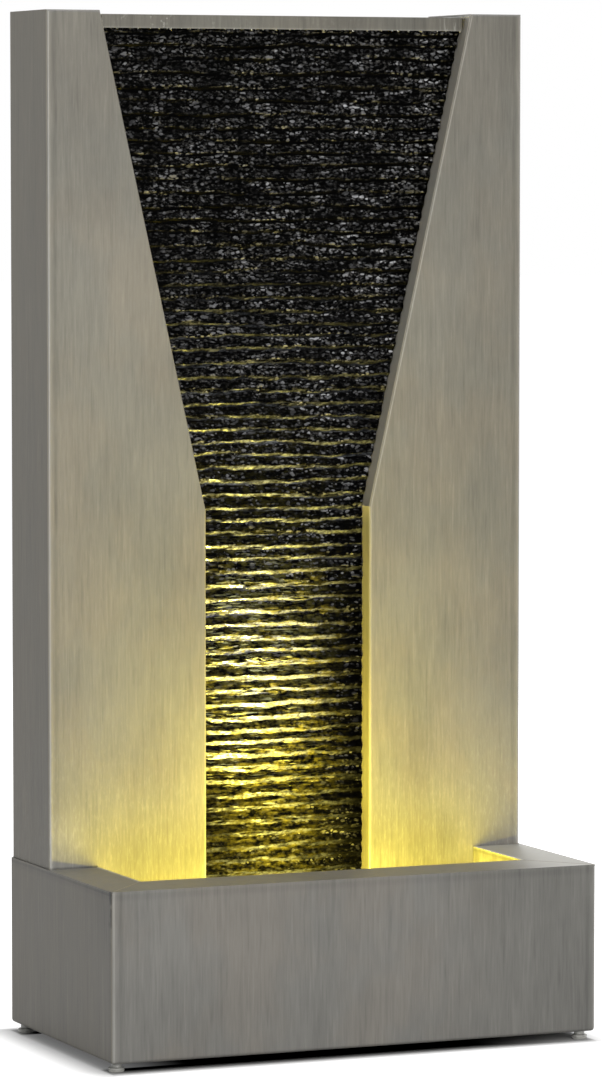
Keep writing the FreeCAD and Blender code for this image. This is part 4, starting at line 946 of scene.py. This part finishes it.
def anodised(name, turned=False):
    """Anodised metal: blasted, or with the fine rings that a lathe leaves round the lamp's own axis."""
    finish = Finish(name)
    grain = finish.speckled(1200, detail=1)
    if turned:
        axial, back = lamp_axes(finish)
        radial = (finish.x ** 2 + back ** 2) ** 0.5
        grain = finish.noise(finish.join(axial * 1500, radial * 1500, 0))
    cloud = finish.speckled(45, detail=3)
    tint = finish.shade((0.33, 0.34, 0.35), 0.66 + grain * 0.34 + cloud * 0.3)
    film = finish.between(finish.stretched(80, 80, 120, detail=4), 0.52, 0.75)
    tint = finish.mix(film * 0.25, tint, LIME)
    return finish.surface(base_color=tint, metallic=0.8, roughness=0.3 + cloud * 0.16 + film * 0.1,
                          normal=finish.bump(grain, 0.0002, 0.5))


paint(anodised("anodised_stand"), "spot_stand")
paint(anodised("anodised_turned", turned=True), "spot_housing", "spot_bezel")

pivot_screws = made_by_nodes("spot_pivot_cross_screws", {
    **screw_sizes, "Head radius": 0.004, "Head height": 0.0022, "Shank radius": 0.002, "Length": 0.0081,
    "Recess": 0.0012, "Turn X": 0.0, "Turn Y": math.radians(90), "Seat": SPOT_PLACE[1],
    "Across": 0.0528, "Up": 0.0, "Rows": 2, "Centre height": SPOT_PLACE[2]}, cross_screws, zinc_finish)
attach(pivot_screws, "spot_head")
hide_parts("spot_pivot_screws")


# A disc of clear toughened glass closes the can. Behind it lies the light module: a white board with
# three square emitters under yellow phosphor.

glass = Finish("toughened_glass")
glass_cloud = glass.speckled(200)
paint(glass.surface(base_color=glass.shade((0.93, 0.96, 0.94), 0.96 + glass_cloud * 0.08),
                    roughness=0.02 + glass_cloud * 0.04, transmission_weight=1.0, ior=1.5), "spot_lens")

CHIP_CIRCLE = 0.008
CHIP_HALF = 0.0026
BOARD_TOP = -0.0062

board = Finish("light_module")
board_axial, board_back = lamp_axes(board)
chips = 0
for corner in range(3):
    angle = math.radians(120 * corner + 30)
    off_x = abs(board.x - CHIP_CIRCLE * math.cos(angle))
    off_y = abs(board_back - CHIP_CIRCLE * math.sin(angle))
    chips = (off_x.at_least(off_y) < CHIP_HALF) * (board_axial > BOARD_TOP) + chips
tracks = board.between(board.speckled(420), 0.5, 0.56)
board_colour = board.mix(tracks * 0.12, (0.80, 0.79, 0.72), (0.50, 0.52, 0.42))
board_colour = board.mix(chips, board_colour, (0.95, 0.70, 0.12))
# The chips glow as the lamp's emitters; the faint glow over the rest of the board is painted light.
chip_and_painted_board_glow = board.mix(chips, (0.020, 0.015, 0.004), (1.0, 0.78, 0.22))
paint(board.surface(base_color=board_colour, roughness=0.45 - chips * 0.2, emission_color=chip_and_painted_board_glow,
                    emission_strength=6.0), "led_module")


# The camera stands to the left, a little above the middle, and looks along the photograph's line. Its
# place, turn and lens were fitted to the straight edges that the photograph shows.

camera = added("camera", bpy.data.cameras.new("camera"))
camera.location = (-2.003, -4.7036, 0.850)
camera.rotation_euler = (math.radians(85.89), 0, math.radians(-23.06))
camera.data.lens = 176.95
camera.data.sensor_width = 36
camera.data.clip_end = 100
bpy.context.scene.camera = camera


# The floor is plain and pale, and white to the camera where no shadow lies. Shade gathers under the
# basin and close beside it, as in the photograph.

FLOOR_COLOUR = 0.75
SEEN_FLOOR_LIFT = 0.86
SIDE_SHADE = 0.045
FRONT_SHADE = 0.02


def seen_share(tree):
    """1 for what the camera, a reflection or a clear piece sees, and 0 for light that spreads."""
    ray = tree.node("ShaderNodeLightPath", output="Is Camera Ray")
    return ray.at_least(ray.also("Is Glossy Ray")).at_least(ray.also("Is Transmission Ray"))


def floor_material():
    """White where it is seen, but for a painted shade close round the basin and under it."""
    finish = Finish("pale_floor")
    out_x = abs(finish.x) - HALF_WIDTH
    out_y = abs(finish.y) - HALF_DEPTH
    # Painted shadow: the lift that whitens the seen floor is lowered beside the basin and under it.
    sideways = (out_x > 0) * (0.16 + finish.between(out_x, -0.01, SIDE_SHADE) * 0.84)
    lengthways = finish.between(out_y, 0, FRONT_SHADE)
    stray = finish.between(-finish.x, 0.16, 0.25) * (out_y < -0.03) * 0.17
    lift = sideways.at_least(lengthways).at_least(stray) * SEEN_FLOOR_LIFT
    # Painted shadow: the floor's own colour goes dark under the basin and close round it, less to the right.
    unshadowed_floor = finish.between(out_x.at_least(out_y), -0.02, 0.004)
    unshadowed_floor = unshadowed_floor.at_least(finish.between(finish.x, 0.13, 0.23) * 0.8)
    pale = finish.shade((FLOOR_COLOUR, FLOOR_COLOUR, FLOOR_COLOUR), unshadowed_floor)
    diffuse = finish.node("ShaderNodeBsdfDiffuse", {}, {"Color": pale})
    lifted = finish.node("ShaderNodeEmission", {}, {"Strength": seen_share(finish) * lift})
    both = finish.node("ShaderNodeAddShader", {}, {0: diffuse, 1: lifted})
    finish.node("ShaderNodeOutputMaterial", {}, {"Surface": both})
    return finish.material


bpy.ops.mesh.primitive_plane_add(size=60)
floor = bpy.context.object
floor.name = "floor"
floor.data.materials.append(floor_material())


# The studio is an even pale room with large soft lamps in front, above and behind. Four small ones
# give the wet ridges their points of light.

ROOM_LIGHT = 0.22
GLINT_PLACES = ((-1.0, -3.2, 2.4), (0.6, -2.6, 2.8), (-2.4, -2.0, 1.6), (2.0, -2.0, 2.2))

world = bpy.data.worlds.new("studio")
bpy.context.scene.world = world
world.use_nodes = True
world.node_tree.nodes.clear()
studio = Tree(world.node_tree)
room = ROOM_LIGHT + seen_share(studio) * (1 - ROOM_LIGHT)
sky = studio.node("ShaderNodeBackground", {}, {"Color": (1, 1, 1, 1), "Strength": room})
studio.node("ShaderNodeOutputWorld", {}, {"Surface": sky})


def soft_box(name, place, target, width, height, power, colour=(1, 1, 1)):
    """A soft lamp at a place, turned to a target."""
    lamp = added(name, bpy.data.lights.new(name, "AREA"))
    lamp.data.shape = "RECTANGLE"
    lamp.data.size = width
    lamp.data.size_y = height
    lamp.data.energy = power
    lamp.data.color = colour
    lamp.location = place
    lamp.rotation_euler = (Vector(target) - Vector(place)).to_track_quat("-Z", "Y").to_euler()
    lamp.visible_camera = False
    return lamp


soft_box("key", (-0.35, -3.4, 1.2), (0, 0, 0.4), width=1.2, height=1.6, power=54, colour=(1, 0.985, 0.96))
soft_box("top", (0.6, -0.5, 3.2), (0, 0, 0.4), width=1.6, height=1.6, power=45)
soft_box("rear", (0.8, 3.2, 1.7), (0, 0, 0.5), width=1.6, height=1.6, power=32)
for number, place in enumerate(GLINT_PLACES):
    soft_box(f"glint_{number}", place, (0, 0, 0.6), width=0.3, height=0.3, power=5)


# The spotlight's beam leans to the wall. A bright core climbs the ridges, a wide spill lights the
# casings, and the water in the basin throws a low glow over both.

LED_COLOUR = (1.0, 0.80, 0.08)
CORE_COLOUR = (1.0, 0.86, 0.30)
LED_PLACE = (0, -0.0185, 0.134)
LED_RADIUS = 0.008


def led_beam(name, power, spread, tilt, softness, fading, colour=LED_COLOUR):
    """One part of the spotlight's beam: how wide it spreads, leans to the wall and fades with distance."""
    beam = added(name, bpy.data.lights.new(name, "SPOT"))
    beam.data.energy = power
    beam.data.color = colour
    beam.data.spot_size = math.radians(spread)
    beam.data.spot_blend = softness
    beam.data.shadow_soft_size = LED_RADIUS
    beam.location = LED_PLACE
    beam.rotation_euler = (math.radians(180 - tilt), 0, 0)
    beam.data.use_nodes = True
    beam.data.node_tree.nodes.clear()
    bulb = Tree(beam.data.node_tree)
    fall = bulb.node("ShaderNodeLightFalloff", {}, {"Strength": 1}, fading)
    glow = bulb.node("ShaderNodeEmission", {}, {"Strength": fall})
    bulb.node("ShaderNodeOutputLight", {}, {"Surface": glow})
    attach(beam, "spot_head")


led_beam("led_spill", power=38, spread=178, tilt=20, softness=0.2, fading="Linear")
led_beam("led_beam", power=50, spread=100, tilt=20, softness=1, fading="Linear")
led_beam("led_core", power=22, spread=36, tilt=12, softness=1, fading="Quadratic", colour=CORE_COLOUR)
soft_box("water_glow", (0, -0.05, 0.130), (0, 0.05, 0.40), width=0.40, height=0.05, power=0.95,
         colour=LED_COLOUR)
for name, side, power in (("left_glow", -1, 0.14), ("right_glow", 1, 0.42)):
    soft_box(name, (0.12 * side, -0.05, 0.130), (0.20 * side, 0.05, 0.28), width=0.14, height=0.05,
             power=power, colour=LED_COLOUR)


bpy.context.scene.view_settings.view_transform = "Standard"
